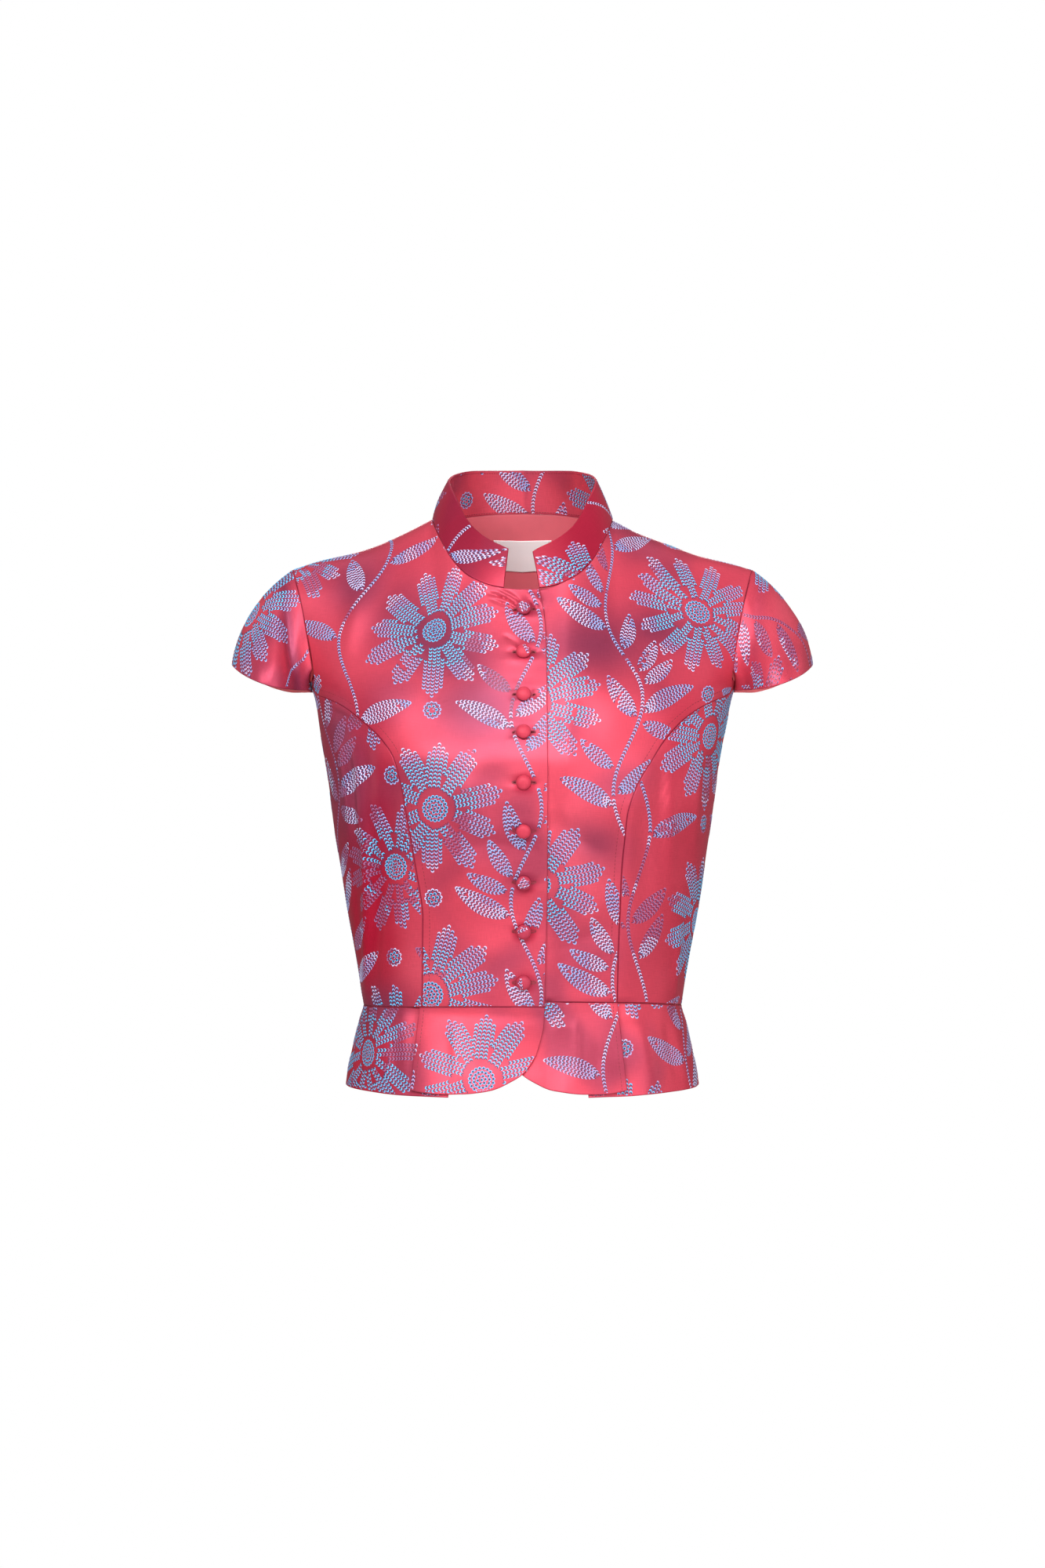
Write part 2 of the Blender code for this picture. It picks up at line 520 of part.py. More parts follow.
# ---------------------------------------------------------------- sleeves
def armhole_loop(count):
    """The armhole of the wearer's left side: from the underarm up the front, over the shoulder, down the back."""
    start = underarm_high()
    high = start + (TOP_HIGH - start) * np.linspace(0, 1, 200)
    fore, aft = armhole(ARMHOLE_FRONT, high), armhole(ARMHOLE_BACK, high, behind=True)
    near = ramp(high, start - 0.012, start + 0.022)
    fore[:, 0] = np.pi / 2 + (fore[:, 0] - np.pi / 2) * near
    aft[:, 0] = np.pi / 2 + (aft[:, 0] - np.pi / 2) * near
    path = np.concatenate([body(fore[:, 0], fore[:, 1]), body(aft[::-1][1:, 0], aft[::-1][1:, 1])])
    run = np.append(0, np.cumsum(np.linalg.norm(np.diff(path, axis=0), axis=1)))
    half = run[199]
    share = np.arange(count) / count
    at = np.where(share <= 0.5, share * 2 * half, half + (share - 0.5) * 2 * (run[-1] - half))
    return np.stack([np.interp(at, run, path[:, i]) for i in range(3)], -1), share


def sleeve_grid(side, fine=1, around=28, out=5):
    """A set-in cap sleeve as a closed band from the armhole to its hem."""
    hole, share = armhole_loop(around * fine)
    angle = share * 2 * np.pi                     # 0 at the underarm, pi on top
    mid = (SLEEVE_HEM_IN + SLEEVE_HEM_OUT) / 2
    half = (SLEEVE_HEM_OUT - SLEEVE_HEM_IN) / 2
    turn = angle - 0.16 * np.sin(2 * angle)
    x = mid - half * np.cos(turn)
    y = -SLEEVE_HEM_HALF * np.sin(turn) * (1 + 0.06 * np.cos(turn))
    hem = np.stack([x, y, smooth(SLEEVE_HEM, 1, x)], -1)
    top = (1 - np.cos(angle)) / 2                 # 0 underarm, 1 shoulder
    fore = -np.sin(angle)
    under = 1 - ramp(top, 0.02, 0.22)
    # out of the armhole: down at the underarm, out and down elsewhere
    lead = np.stack([0.80 - 0.55 * under, 0.30 * fore * (1 - under), -0.52 - 0.10 * (1 - top) - 0.35 * under], -1)
    lead /= np.linalg.norm(lead, axis=1, keepdims=True)
    fall = np.stack([0.16 + 0.0 * top, 0.12 * fore, -np.ones_like(top)], -1)
    fall /= np.linalg.norm(fall, axis=1, keepdims=True)
    start = hole + lead * (0.0005 + 0.0004 * ramp(top, 0.8, 1.0))[:, None]
    start[:, 0] += 0.0009 * under
    start[:, 2] += 0.0004 * under
    length = np.linalg.norm(hem - start, axis=1, keepdims=True)
    p1, p2 = start + lead * length * 0.35, hem - fall * length * 0.36
    v = np.linspace(0, 1, out * fine + 1)[None, :, None]
    points = ((1 - v) ** 3 * start[:, None] + 3 * (1 - v) ** 2 * v * p1[:, None]
              + 3 * (1 - v) * v**2 * p2[:, None] + v**3 * hem[:, None]) * (side, 1, 1)
    normal = grid_normals(points, loop=True)
    middle = np.array([side * 0.190, 0, -0.125])
    normal = normal if (normal * (points - middle)).sum() > 0 else -normal
    return points, normal, np.stack(np.broadcast_arrays(angle[:, None], v[..., 0]), -1)


# ---------------------------------------------------------------- making the solids
def clear():
    for item in list(bpy.data.objects):
        bpy.data.objects.remove(item, do_unlink=True)


def material(name, colour, rough):
    mat = bpy.data.materials.new(name)
    mat.use_nodes = True
    shader = next(n for n in mat.node_tree.nodes if n.type == "BSDF_PRINCIPLED")
    shader.inputs["Base Color"].default_value = (*colour, 1)
    shader.inputs["Roughness"].default_value = rough
    mat.diffuse_color = (*colour, 1)
    return mat


def sheet(name, grid, wall, mat, home, loop=False, **seams):
    """A grid of outer points given its wall: the open middle surface, thickened to both sides."""
    points, normal = grid[0], grid[1]
    points = points - normal * (wall / 2)
    if not loop:
        points = drawn_in(points, **seams)
    n, m = points.shape[:2]
    corners = points.reshape(-1, 3)
    faces = []
    for i in range(n if loop else n - 1):
        j = (i + 1) % n
        for k in range(m - 1):
            faces.append((i * m + k, j * m + k, j * m + k + 1, i * m + k + 1))
    at = corners[np.array(faces)]
    turned = np.cross(at[:, 2] - at[:, 0], at[:, 3] - at[:, 1])
    if (turned * normal.reshape(-1, 3)[np.array(faces)[:, 0]]).sum() < 0:
        faces = [f[::-1] for f in faces]
    mesh = bpy.data.meshes.new(name)
    mesh.from_pydata([tuple(p) for p in corners], [], faces)
    mesh.materials.append(mat)
    item = bpy.data.objects.new(name, mesh)
    home.objects.link(item)
    shell = item.modifiers.new("wall", "SOLIDIFY")
    shell.thickness = wall
    shell.offset = 0
    shell.use_rim = True
    return item


def button_mesh(mat):
    """A covered button, turned: a dome with a rounded edge over a short shank."""
    r, h = BUTTON_RADIUS, BUTTON_HEIGHT
    profile = [(0.0, h), (0.40 * r, 0.96 * h), (0.72 * r, 0.81 * h), (0.93 * r, 0.58 * h),
               (r, 0.36 * h), (0.93 * r, 0.20 * h), (0.36 * r, 0.14 * h), (0.34 * r, 0.0), (0.0, 0.0)]
    mesh = bpy.data.meshes.new("button")
    mesh.from_pydata([(a, 0, b) for a, b in profile], [(i, i + 1) for i in range(len(profile) - 1)], [])
    mesh.materials.append(mat)
    return mesh


def button_place(z):
    """Centre and outward direction of a button on the lapping front."""
    place = chart(BUTTON_X, z)
    return body(place[0], place[1]), normals(body, place)


def build():
    clear()
    home = bpy.data.collections.new("cap_sleeve_peplum_top")
    bpy.context.scene.collection.children.link(home)
    free = dict(left=0, right=0, bottom=0, top=0)

    for name in ("front_right", "front_left"):
        sheet(name, front_grid(side_of(name)), CLOTH, material(name, (0.80, 0.10, 0.14), 0.4), home, left=0, top=0.00030)
    for name in ("side_front_right", "side_front_left"):
        sheet(name, side_front_grid(side_of(name)), CLOTH, material(name, (0.72, 0.05, 0.10), 0.4), home)
    sheet("back", back_grid(), CLOTH, material("back", (0.76, 0.08, 0.12), 0.4), home, top=0.00030)
    sheet("back_facing", facing_grid(), FACING_WALL, material("back_facing", (0.70, 0.12, 0.13), 0.6), home,
          left=0, right=0, bottom=0, top=0.0015)
    sheet("label", label_grid(), FACING_WALL, material("label", (0.85, 0.82, 0.82), 0.5), home, **free)
    sheet("collar", collar_grid(), COLLAR_WALL, material("collar", (0.70, 0.06, 0.12), 0.4), home,
          left=0, right=0, bottom=0.00045, top=0)
    for name in ("sleeve_right", "sleeve_left"):
        sheet(name, sleeve_grid(side_of(name)), CLOTH, material(name, (0.80, 0.09, 0.13), 0.4), home, loop=True)
    for name in ("peplum_front_right", "peplum_front_left"):
        sheet(name, peplum_front_grid(side_of(name)), CLOTH, material(name, (0.80, 0.11, 0.15), 0.4), home,
              left=0, right=0, top=0)
    for name in ("peplum_side_right", "peplum_side_left"):
        sheet(name, peplum_side_grid(side_of(name)), CLOTH, material(name, (0.72, 0.05, 0.10), 0.4), home, left=0, top=0)
    sheet("peplum_back", peplum_back_grid(), CLOTH, material("peplum_back", (0.76, 0.08, 0.12), 0.4), home, top=0)

    button = button_mesh(material("button", (0.76, 0.10, 0.14), 0.45))
    for i, z in enumerate(BUTTON_Z):
        at, out = button_place(z)
        item = bpy.data.objects.new(f"button_{i + 1}", button)
        home.objects.link(item)
        turn = Vector(out).to_track_quat("Z", "Y").to_matrix().to_4x4()
        item.matrix_world = Matrix.Translation(Vector(at + out * 0.0005)) @ turn
        screw = item.modifiers.new("turned", "SCREW")
        screw.steps = screw.render_steps = 20
        screw.use_merge_vertices = True
        screw.merge_threshold = 0.00005
        screw.use_smooth_shade = False


build()
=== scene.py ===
import math

import bpy
import numpy as np
from mathutils import Matrix, Vector
from mathutils.kdtree import KDTree


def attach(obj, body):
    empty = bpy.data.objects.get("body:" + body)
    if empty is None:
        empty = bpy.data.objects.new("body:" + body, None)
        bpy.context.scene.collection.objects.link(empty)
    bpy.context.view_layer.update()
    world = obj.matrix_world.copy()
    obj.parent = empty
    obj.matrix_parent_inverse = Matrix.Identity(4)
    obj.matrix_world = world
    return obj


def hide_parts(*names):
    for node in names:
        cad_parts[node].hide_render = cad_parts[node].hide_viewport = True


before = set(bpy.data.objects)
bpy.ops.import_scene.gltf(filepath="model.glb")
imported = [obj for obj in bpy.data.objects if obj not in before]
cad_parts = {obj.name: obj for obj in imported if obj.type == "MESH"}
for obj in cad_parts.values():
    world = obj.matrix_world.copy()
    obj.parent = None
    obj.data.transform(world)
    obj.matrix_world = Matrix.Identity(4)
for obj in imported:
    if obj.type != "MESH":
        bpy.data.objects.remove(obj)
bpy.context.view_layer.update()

# The pieces' surfaces, worked out from the same sizes as the solids.
# ---------------------------------------------------------------- driving sizes
CLOTH = 0.0015          # wall of the body, sleeve and peplum pieces
COLLAR_WALL = 0.0020    # wall of the stand collar, which is stiffened
FACING_WALL = 0.0010    # wall of the back neck facing and of the label
SEAM = 0.00017          # each piece stops this far short of its seam line
LAP_STEP = 0.0025       # how far a lapped-under edge lies inside the one over it
ARMPIT_Z = -0.145       # height where the body rings hand over to the shoulder arch
ARCH = 0.20             # metres of chart height for one radian of shoulder arch
ROUND = 2.3             # ring exponent: 2 is an ellipse, more is squarer
SHOULDER_TIP = 0.1875   # half distance between the shoulder points
NECK_SIDE = 0.0739      # half distance between the neck points
WAIST_FRONT, WAIST_SIDE = -0.3915, -0.3950
WAIST_STEP = 0.0040     # how much higher the left front's waist seam sits beside the lap
SIDE_SEAM = np.radians(92.0)
UNDERARM_Z = -0.1340
BUTTON_RADIUS, BUTTON_HEIGHT = 0.0058, 0.0050
BUTTON_X = 0.0008
BUTTON_Z = (-0.0765, -0.1116, -0.1454, -0.1751, -0.2145, -0.2524, -0.2929, -0.3318, -0.3722)
LABEL_WIDTH, LABEL_HEIGHT, LABEL_Z = 0.050, 0.026, -0.0235
UNDERLAY = 0.030        # how far a side peplum piece runs on under the front one

# chart height, half width, front depth, back depth
BODY = np.array([
    (-0.251, 0.1290, 0.0900, 0.0720),
    (-0.225, 0.1332, 0.0912, 0.0730),
    (-0.186, 0.1402, 0.0955, 0.0765),
    (-0.148, 0.1467, 0.1030, 0.0830),
    (-0.109, 0.1530, 0.1120, 0.0905),
    (-0.083, 0.1570, 0.1160, 0.0950),
    (-0.058, 0.1606, 0.1155, 0.0990),
    (-0.026, 0.1660, 0.1080, 0.1035),
    (0.000, 0.1700, 0.1000, 0.1055),
    (0.050, 0.1800, 0.0835, 0.1075),
    (0.100, 0.1920, 0.0715, 0.1080),
    (0.160, 0.2050, 0.0645, 0.1080),
    (0.240, 0.2200, 0.0625, 0.1080),
    (0.316, 0.2300, 0.0620, 0.1080)])

# half distance from the centre, height of the shoulder ridge (inside the neck it only steers the rings)
RIDGE = np.array([
    (0.000, 0.0700), (0.030, 0.0580), (0.045, 0.0430), (0.060, 0.0210), (0.0739, 0.0000),
    (0.0797, -0.0032), (0.0944, -0.0109), (0.1120, -0.0186), (0.1267, -0.0237),
    (0.1470, -0.0300), (0.1725, -0.0365), (0.1875, -0.0405), (0.2100, -0.0460)])

# half distance from the centre, height
NECK_FRONT = np.array([
    (0.0000, -0.0603), (0.0134, -0.0597), (0.0246, -0.0578), (0.0338, -0.0545),
    (0.0457, -0.0475), (0.0569, -0.0352), (0.0645, -0.0220), (0.0700, -0.0105), (0.0739, 0.0)])
NECK_BACK = np.array([
    (0.0000, 0.0112), (0.0200, 0.0106), (0.0400, 0.0086), (0.0560, 0.0056), (0.0680, 0.0025), (0.0739, 0.0)])

# height, half distance from the centre
ARMHOLE_FRONT = np.array([
    (-0.1330, 0.1689), (-0.1230, 0.1697), (-0.1050, 0.1722), (-0.0870, 0.1755),
    (-0.0700, 0.1790), (-0.0520, 0.1838), (-0.0410, 0.1873)])
ARMHOLE_BACK = np.array([
    (-0.1330, 0.1696), (-0.1150, 0.1740), (-0.0950, 0.1775), (-0.0750, 0.1805),
    (-0.0550, 0.1842), (-0.0410, 0.1873)])

# height, distance from the centre on the wearer's right, on the wearer's left
PRINCESS = np.array([
    (-0.1310, 0.1691, 0.1691), (-0.1360, 0.1694, 0.1690), (-0.1425, 0.1676, 0.1668), (-0.1500, 0.1500, 0.1510),
    (-0.1560, 0.1395, 0.1395), (-0.1655, 0.1275, 0.1270), (-0.1800, 0.1118, 0.1128),
    (-0.1955, 0.1016, 0.1030), (-0.2170, 0.0958, 0.0900), (-0.2400, 0.0917, 0.0822),
    (-0.2600, 0.0880, 0.0803), (-0.2900, 0.0830, 0.0778), (-0.3216, 0.0790, 0.0768),
    (-0.3550, 0.0793, 0.0756), (-0.3950, 0.0800, 0.0748)])

# height, distance of the lapped front edge from the centre line
LAP_EDGE = np.array([
    (-0.4600, 0.0176), (-0.3917, 0.0176), (-0.3600, 0.0184), (-0.3000, 0.0196), (-0.2200, 0.0198),
    (-0.1500, 0.0196), (-0.0950, 0.0187), (-0.0750, 0.0165), (-0.0597, 0.0134)])

# height, half width, front depth, back depth
PEPLUM = np.array([
    (-0.4700, 0.1462, 0.1085, 0.0990), (-0.4602, 0.1443, 0.1060, 0.0960), (-0.4461, 0.1421, 0.1022, 0.0915),
    (-0.4333, 0.1389, 0.0985, 0.0870), (-0.4205, 0.1357, 0.0955, 0.0825), (-0.4077, 0.1325, 0.0928, 0.0775),
    (-0.3960, 0.1292, 0.0902, 0.0728), (-0.3850, 0.1285, 0.0895, 0.0715)])

# rounded front corner of the peplum: signed distance past the centre line, height
PEPLUM_CORNER = np.array([
    (0.0105, -0.4290), (0.0060, -0.4368), (0.0000, -0.4437), (-0.0083, -0.4490), (-0.0249, -0.4560),
    (-0.0488, -0.4592), (-0.0650, -0.4596), (-0.0780, -0.4586), (-0.0852, -0.4572)])
HEM_SIDE, HEM_BACK = -0.4586, -0.4600

# the soft flutes of the peplum: angle from centre front in degrees, half spread, how far out
FLUTES = np.array([
    (-148.0, 13.0, 0.0034), (-118.0, 11.0, 0.0028), (-74.0, 10.0, 0.0014), (-55.0, 7.0, -0.0012),
    (-24.0, 8.0, 0.0016), (17.0, 7.0, 0.0012), (52.0, 7.0, -0.0014), (71.0, 11.0, 0.0016),
    (112.0, 12.0, 0.0030), (139.0, 10.0, -0.0016), (163.0, 12.0, 0.0036)])

# top edge of the collar: half distance from the centre, depth side (-1 front, 1 back), height
COLLAR_TOP_HALF, COLLAR_TOP_FRONT, COLLAR_TOP_BACK = 0.0605, 0.0570, 0.0640
# plan angle from centre front in degrees, height of the collar's top edge
COLLAR_TOP = np.array([
    (7.0, -0.0300), (10.5, -0.0275), (25.0, -0.0200), (40.0, -0.0097), (47.5, -0.0024),
    (63.0, 0.0158), (78.0, 0.0272), (95.0, 0.0345), (118.0, 0.0410), (140.0, 0.0452), (180.0, 0.0468)])
COLLAR_ENDS = {"left": (0.0134, 0.0078), "right": (0.0147, 0.0110)}   # at the seam, at the top

# sleeve hem: plan ellipse and height by distance from the centre
SLEEVE_HEM_IN, SLEEVE_HEM_OUT, SLEEVE_HEM_HALF = 0.1760, 0.2368, 0.0600
SLEEVE_HEM = np.array([
    (0.1700, -0.1398), (0.1760, -0.1402), (0.1895, -0.1398), (0.2040, -0.1368), (0.2120, -0.1341),
    (0.2246, -0.1281), (0.2330, -0.1222), (0.2368, -0.1186)])


# ---------------------------------------------------------------- curves
def smooth(table, column, at):
    """A monotone smooth curve through table[:, 0] -> table[:, column], held flat past its ends."""
    x, y = table[:, 0], table[:, column]
    if x[0] > x[-1]:
        x, y = x[::-1], y[::-1]
    step, rise = np.diff(x), np.diff(y) / np.diff(x)
    slope = np.zeros(len(x))
    same = rise[:-1] * rise[1:] > 0
    w1, w2 = 2 * step[1:] + step[:-1], step[1:] + 2 * step[:-1]
    safe = np.where(same, rise[:-1] * rise[1:], 1.0)
    slope[1:-1] = np.where(same, (w1 + w2) * safe / np.where(same, w1 * rise[1:] + w2 * rise[:-1], 1.0), 0.0)
    slope[0], slope[-1] = rise[0], rise[-1]
    at = np.clip(np.asarray(at, float), x[0], x[-1])
    i = np.clip(np.searchsorted(x, at) - 1, 0, len(x) - 2)
    h = step[i]
    s = (at - x[i]) / h
    return ((2 * s**3 - 3 * s**2 + 1) * y[i] + (s**3 - 2 * s**2 + s) * h * slope[i]
            + (3 * s**2 - 2 * s**3) * y[i + 1] + (s**3 - s**2) * h * slope[i + 1])


def ramp(at, low, high):
    """0 at low, 1 at high, smooth between."""
    s = np.clip((np.asarray(at, float) - low) / (high - low), 0, 1)
    return s * s * (3 - 2 * s)


# ---------------------------------------------------------------- the body as a chart (turn, height)
def ring(turn):
    """Unit ring: sideways and forward shares at this turn from centre front."""
    s, c = np.sin(turn), np.cos(turn)
    r = (np.abs(s) ** ROUND + np.abs(c) ** ROUND) ** (-1 / ROUND)
    return r * s, r * c


def body(turn, high):
    """A point of the body's outer side. high is metres below the armpit, or arch angle times ARCH above it."""
    turn, high = np.broadcast_arrays(np.asarray(turn, float), np.asarray(high, float))
    half, front, back = (smooth(BODY, i, high) for i in (1, 2, 3))
    s, c = ring(turn)
    x = half * s
    top = smooth(RIDGE, 1, np.abs(x)) - ARMPIT_Z
    arch = np.clip(high, 0, None) / ARCH
    y = -np.where(c > 0, front, back) * c * np.cos(arch)
    low = np.minimum(high, 0)
    z = ARMPIT_Z + top * np.sin(arch) + low + (top / ARCH - 1) * low * np.exp(low / 0.03)
    return np.stack([x, y, z], -1)


def chart(x, z, behind=False):
    """The chart place of a point given as the front view (or the back view) has it."""
    x, z = np.broadcast_arrays(np.asarray(x, float), np.asarray(z, float))
    top = smooth(RIDGE, 1, np.abs(x)) - ARMPIT_Z
    up = np.arcsin(np.clip((z - ARMPIT_Z) / top, 0, 1)) * ARCH
    low = np.minimum(z - ARMPIT_Z, 0)
    down = low
    for _ in range(40):
        down = low - (top / ARCH - 1) * down * np.exp(down / 0.03)
    high = np.where(z > ARMPIT_Z, up, down)
    u = np.clip(np.abs(x) / smooth(BODY, 1, high), 0, 0.99999)
    turn = np.arctan2(u, (1 - u**ROUND) ** (1 / ROUND))
    turn = np.where(behind, np.pi - turn, turn)
    return np.stack([np.where(x < 0, -turn, turn), high], -1)


def waist_z(turn, side=-1):
    """Height of the waist seam. The wearer's left front has it a little higher."""
    step = WAIST_STEP * (1 - ramp(turn, 0.5, 1.55)) if side > 0 else 0.0
    return WAIST_FRONT + (WAIST_SIDE - WAIST_FRONT) * np.sin(turn) ** 2 + step


def waist_high(turn, side=-1):
    """Chart height of the waist seam."""
    return waist_z(turn, side) - ARMPIT_Z


def patch(bottom, top, left, right):
    """A grid filled in between four edges given as chart points, [across, up]."""
    u = np.linspace(0, 1, len(bottom))[:, None, None]
    v = np.linspace(0, 1, len(left))[None, :, None]
    return ((1 - v) * bottom[:, None] + v * top[:, None] + (1 - u) * left[None] + u * right[None]
            - (1 - u) * (1 - v) * bottom[0] - u * (1 - v) * bottom[-1] - (1 - u) * v * top[0] - u * v * top[-1])


def facing_out(normal, points):
    """Unit normals turned away from the body's long axis."""
    normal = normal / (np.linalg.norm(normal, axis=-1, keepdims=True) + 1e-12)
    away = points * (1, 1, 0) + (0, 0, 0.03)
    return np.where((normal * away).sum(-1, keepdims=True) < 0, -normal, normal)


def normals(surface, places):
    """Unit normals of body() or peplum() at chart places."""
    a, b, e = places[..., 0], places[..., 1], 1e-4
    along = surface(a + e, b) - surface(a - e, b)
    up = surface(a, b + e) - surface(a, b - e)
    return facing_out(np.cross(along, up), surface(a, b))


def grid_normals(grid, loop=False):
    """Unit normals of a free grid of points."""
    if loop:
        du = np.roll(grid, -1, axis=0) - np.roll(grid, 1, axis=0)
    else:
        du = np.gradient(grid, axis=0)
    n = np.cross(du, np.gradient(grid, axis=1))
    return n / (np.linalg.norm(n, axis=-1, keepdims=True) + 1e-12)


def drawn_in(grid, left=SEAM, right=SEAM, bottom=SEAM, top=SEAM):
    """The grid with each side moved in from its seam line."""
    out = grid.copy()

    def move(edge, inner, by):
        t = np.gradient(edge, axis=0)
        t /= np.linalg.norm(t, axis=-1, keepdims=True) + 1e-12
        d = inner - edge
        d = d - (d * t).sum(-1, keepdims=True) * t
        d /= np.linalg.norm(d, axis=-1, keepdims=True) + 1e-12
        return edge + d * by

    out[0] = move(out[0], out[1], left)
    out[-1] = move(out[-1], out[-2], right)
    out[:, 0] = move(out[:, 0], out[:, 1], bottom)
    out[:, -1] = move(out[:, -1], out[:, -2], top)
    return out


# ---------------------------------------------------------------- pieces of the body
def side_of(name):
    return -1.0 if name.endswith("right") else 1.0


def lap_x(z):
    return smooth(LAP_EDGE, 1, z)


TOP_HIGH = ARCH * np.pi / 2
SEAM_START = -0.1310    # height where the princess seam meets the armhole


def underarm_high():
    return float(chart(0.1698, UNDERARM_Z)[1])


def princess(side, steps):
    """Chart points of the princess seam from the waist to the armhole."""
    low = np.interp(np.linspace(0, 1, steps + 1), [0, 0.36, 0.78, 0.92, 1], [-0.3935, -0.2700, -0.1740, -0.1450, SEAM_START])
    seam = chart(side * smooth(PRINCESS, 1 if side < 0 else 2, low), low)
    seam[0, 1] = waist_high(seam[0, 0], side)
    return seam


def armhole(table, high, behind=False):
    """Chart points of an armhole edge on the wearer's left at these chart heights."""
    x = np.full(np.shape(high), 0.175)
    for _ in range(30):
        z = ARMPIT_Z + (smooth(RIDGE, 1, x) - ARMPIT_Z) * np.sin(np.asarray(high) / ARCH)
        x = smooth(table, 1, z)
    u = x / smooth(BODY, 1, high)
    turn = np.arctan2(u, (1 - np.clip(u, 0, 0.99999) ** ROUND) ** (1 / ROUND))
    return np.stack([np.pi - turn if behind else turn, high], -1)


def front_places(side, fine=1, across=(7, 6), up=(13, 7)):
    """A front from the lapped edge to the princess seam and the armhole. side is -1 for the wearer's right."""
    n_neck, n_shoulder, n_low, n_arm = (n * fine for n in across + up)
    z = np.concatenate([np.linspace(WAIST_FRONT, -0.165, n_low, endpoint=False),
                        np.linspace(-0.165, NECK_FRONT[1, 1], n_arm + 1)])
    left = chart(-side * lap_x(z), z)
    seam = princess(side, n_low)
    start = float(seam[-1, 1])
    hole = armhole(ARMHOLE_FRONT, start + (TOP_HIGH - start) * np.linspace(0, 1, n_arm + 1))
    hole[:, 0] *= side
    right = np.concatenate([seam[:-1], hole])
    right[n_low, 0] = seam[-1, 0]
    near = -lap_x(NECK_FRONT[1, 1])
    bend = np.sin(np.linspace(0, 1, n_neck + 1) * np.pi / 2) ** 0.9
    x = near + (NECK_SIDE - near) * bend
    neck = chart(side * x, smooth(NECK_FRONT, 1, np.abs(x)))
    far = np.linspace(NECK_SIDE, SHOULDER_TIP, n_shoulder + 1)[1:]
    top = np.concatenate([neck, chart(side * far, smooth(RIDGE, 1, far))])
    top[n_neck:, 1] = TOP_HIGH
    right[-1] = top[-1]
    left[-1] = top[0]
    share = np.linspace(0, 1, n_neck + n_shoulder + 1)
    bottom = left[0] + (right[0] - left[0]) * share[:, None]
    bottom[:, 1] = waist_high(bottom[:, 0], side)
    left[0] = bottom[0]
    return patch(bottom, top, left, right)


def under_step(x, z):
    """How far the left front lies in under the right one."""
    return LAP_STEP * (1 - ramp(x, lap_x(z) + 0.001, lap_x(z) + 0.017))


def front_grid(side, fine=1):
    places = front_places(side, fine)
    points = body(places[..., 0], places[..., 1])
    normal = normals(body, places)
    if side > 0:
        points = points - normal * under_step(points[..., 0], points[..., 2])[..., None]
    return points, normal, places


def side_front_grid(side, fine=1, across=6, up=13):
    """A side front from the princess seam to the side seam."""
    across, up = across * fine, up * fine
    left = princess(side, up)
    s = np.linspace(0, 1, up + 1)
    low = waist_high(SIDE_SEAM)
    right = np.stack([np.full(up + 1, side * SIDE_SEAM), low + (underarm_high() - low) * s], -1)
    u = np.linspace(0, 1, across + 1)
    bottom = left[0] + (right[0] - left[0]) * u[:, None]
    bottom[:, 1] = waist_high(bottom[:, 0], side)
    top = left[-1] + (right[-1] - left[-1]) * u[:, None]
    top[:, 1] = left[-1, 1] + (right[-1, 1] - left[-1, 1]) * (1 - (1 - u) ** 2)
    places = patch(bottom, top, left, right)
    return body(places[..., 0], places[..., 1]), normals(body, places), places


def back_grid(fine=1, across=(5, 10, 5), up=(8, 11)):
    """The back from side seam to side seam. It runs from the wearer's left to the right."""
    n_shoulder, n_neck = across[0] * fine, across[1] * fine
    n_low, n_arm = (n * fine for n in up)
    low, armpit = waist_high(SIDE_SEAM), underarm_high()
    seam = np.stack([np.full(n_low, SIDE_SEAM), low + (armpit - low) * np.arange(n_low) / n_low], -1)
    high = armpit + (TOP_HIGH - armpit) * np.linspace(0, 1, n_arm + 1)
    hole = armhole(ARMHOLE_BACK, high, behind=True)
    hole[:, 0] = SIDE_SEAM + (hole[:, 0] - SIDE_SEAM) * ramp(high, armpit - 0.012, armpit + 0.022)
    hole[:, 1] = high
    hole[0] = SIDE_SEAM, armpit
    left = np.concatenate([seam, hole])
    far = np.linspace(SHOULDER_TIP, NECK_SIDE, n_shoulder, endpoint=False)
    shoulder = chart(far, smooth(RIDGE, 1, far), behind=True)
    shoulder[:, 1] = TOP_HIGH
    bend = np.cos(np.linspace(0, np.pi, n_neck + 1))
    neck = chart(NECK_SIDE * np.abs(bend), smooth(NECK_BACK, 1, NECK_SIDE * np.abs(bend)), behind=True)
    neck[:, 0] = np.where(bend < -1e-9, 2 * np.pi - neck[:, 0], neck[:, 0])
    neck[0, 1] = neck[-1, 1] = TOP_HIGH
    other = shoulder[::-1].copy()
    other[:, 0] = 2 * np.pi - other[:, 0]
    top = np.concatenate([shoulder, neck, other])
    left[-1] = top[0]
    right = left.copy()
    right[:, 0] = 2 * np.pi - right[:, 0]
    u = np.linspace(0, 1, len(top))
    bottom = left[0] + (right[0] - left[0]) * u[:, None]
    bottom[:, 1] = waist_high(bottom[:, 0])
    places = patch(bottom, top, left, right)
    return body(places[..., 0], places[..., 1]), normals(body, places), places


def facing_grid(fine=1):
    """Plain facing inside the back neck, made from the back's own points moved in."""
    points, normal, places = back_grid(fine)
    pick = (slice(3 * fine, 17 * fine + 1), slice(12 * fine, None))
    return (points - normal * (CLOTH + 0.0004))[pick], normal[pick], places[pick]


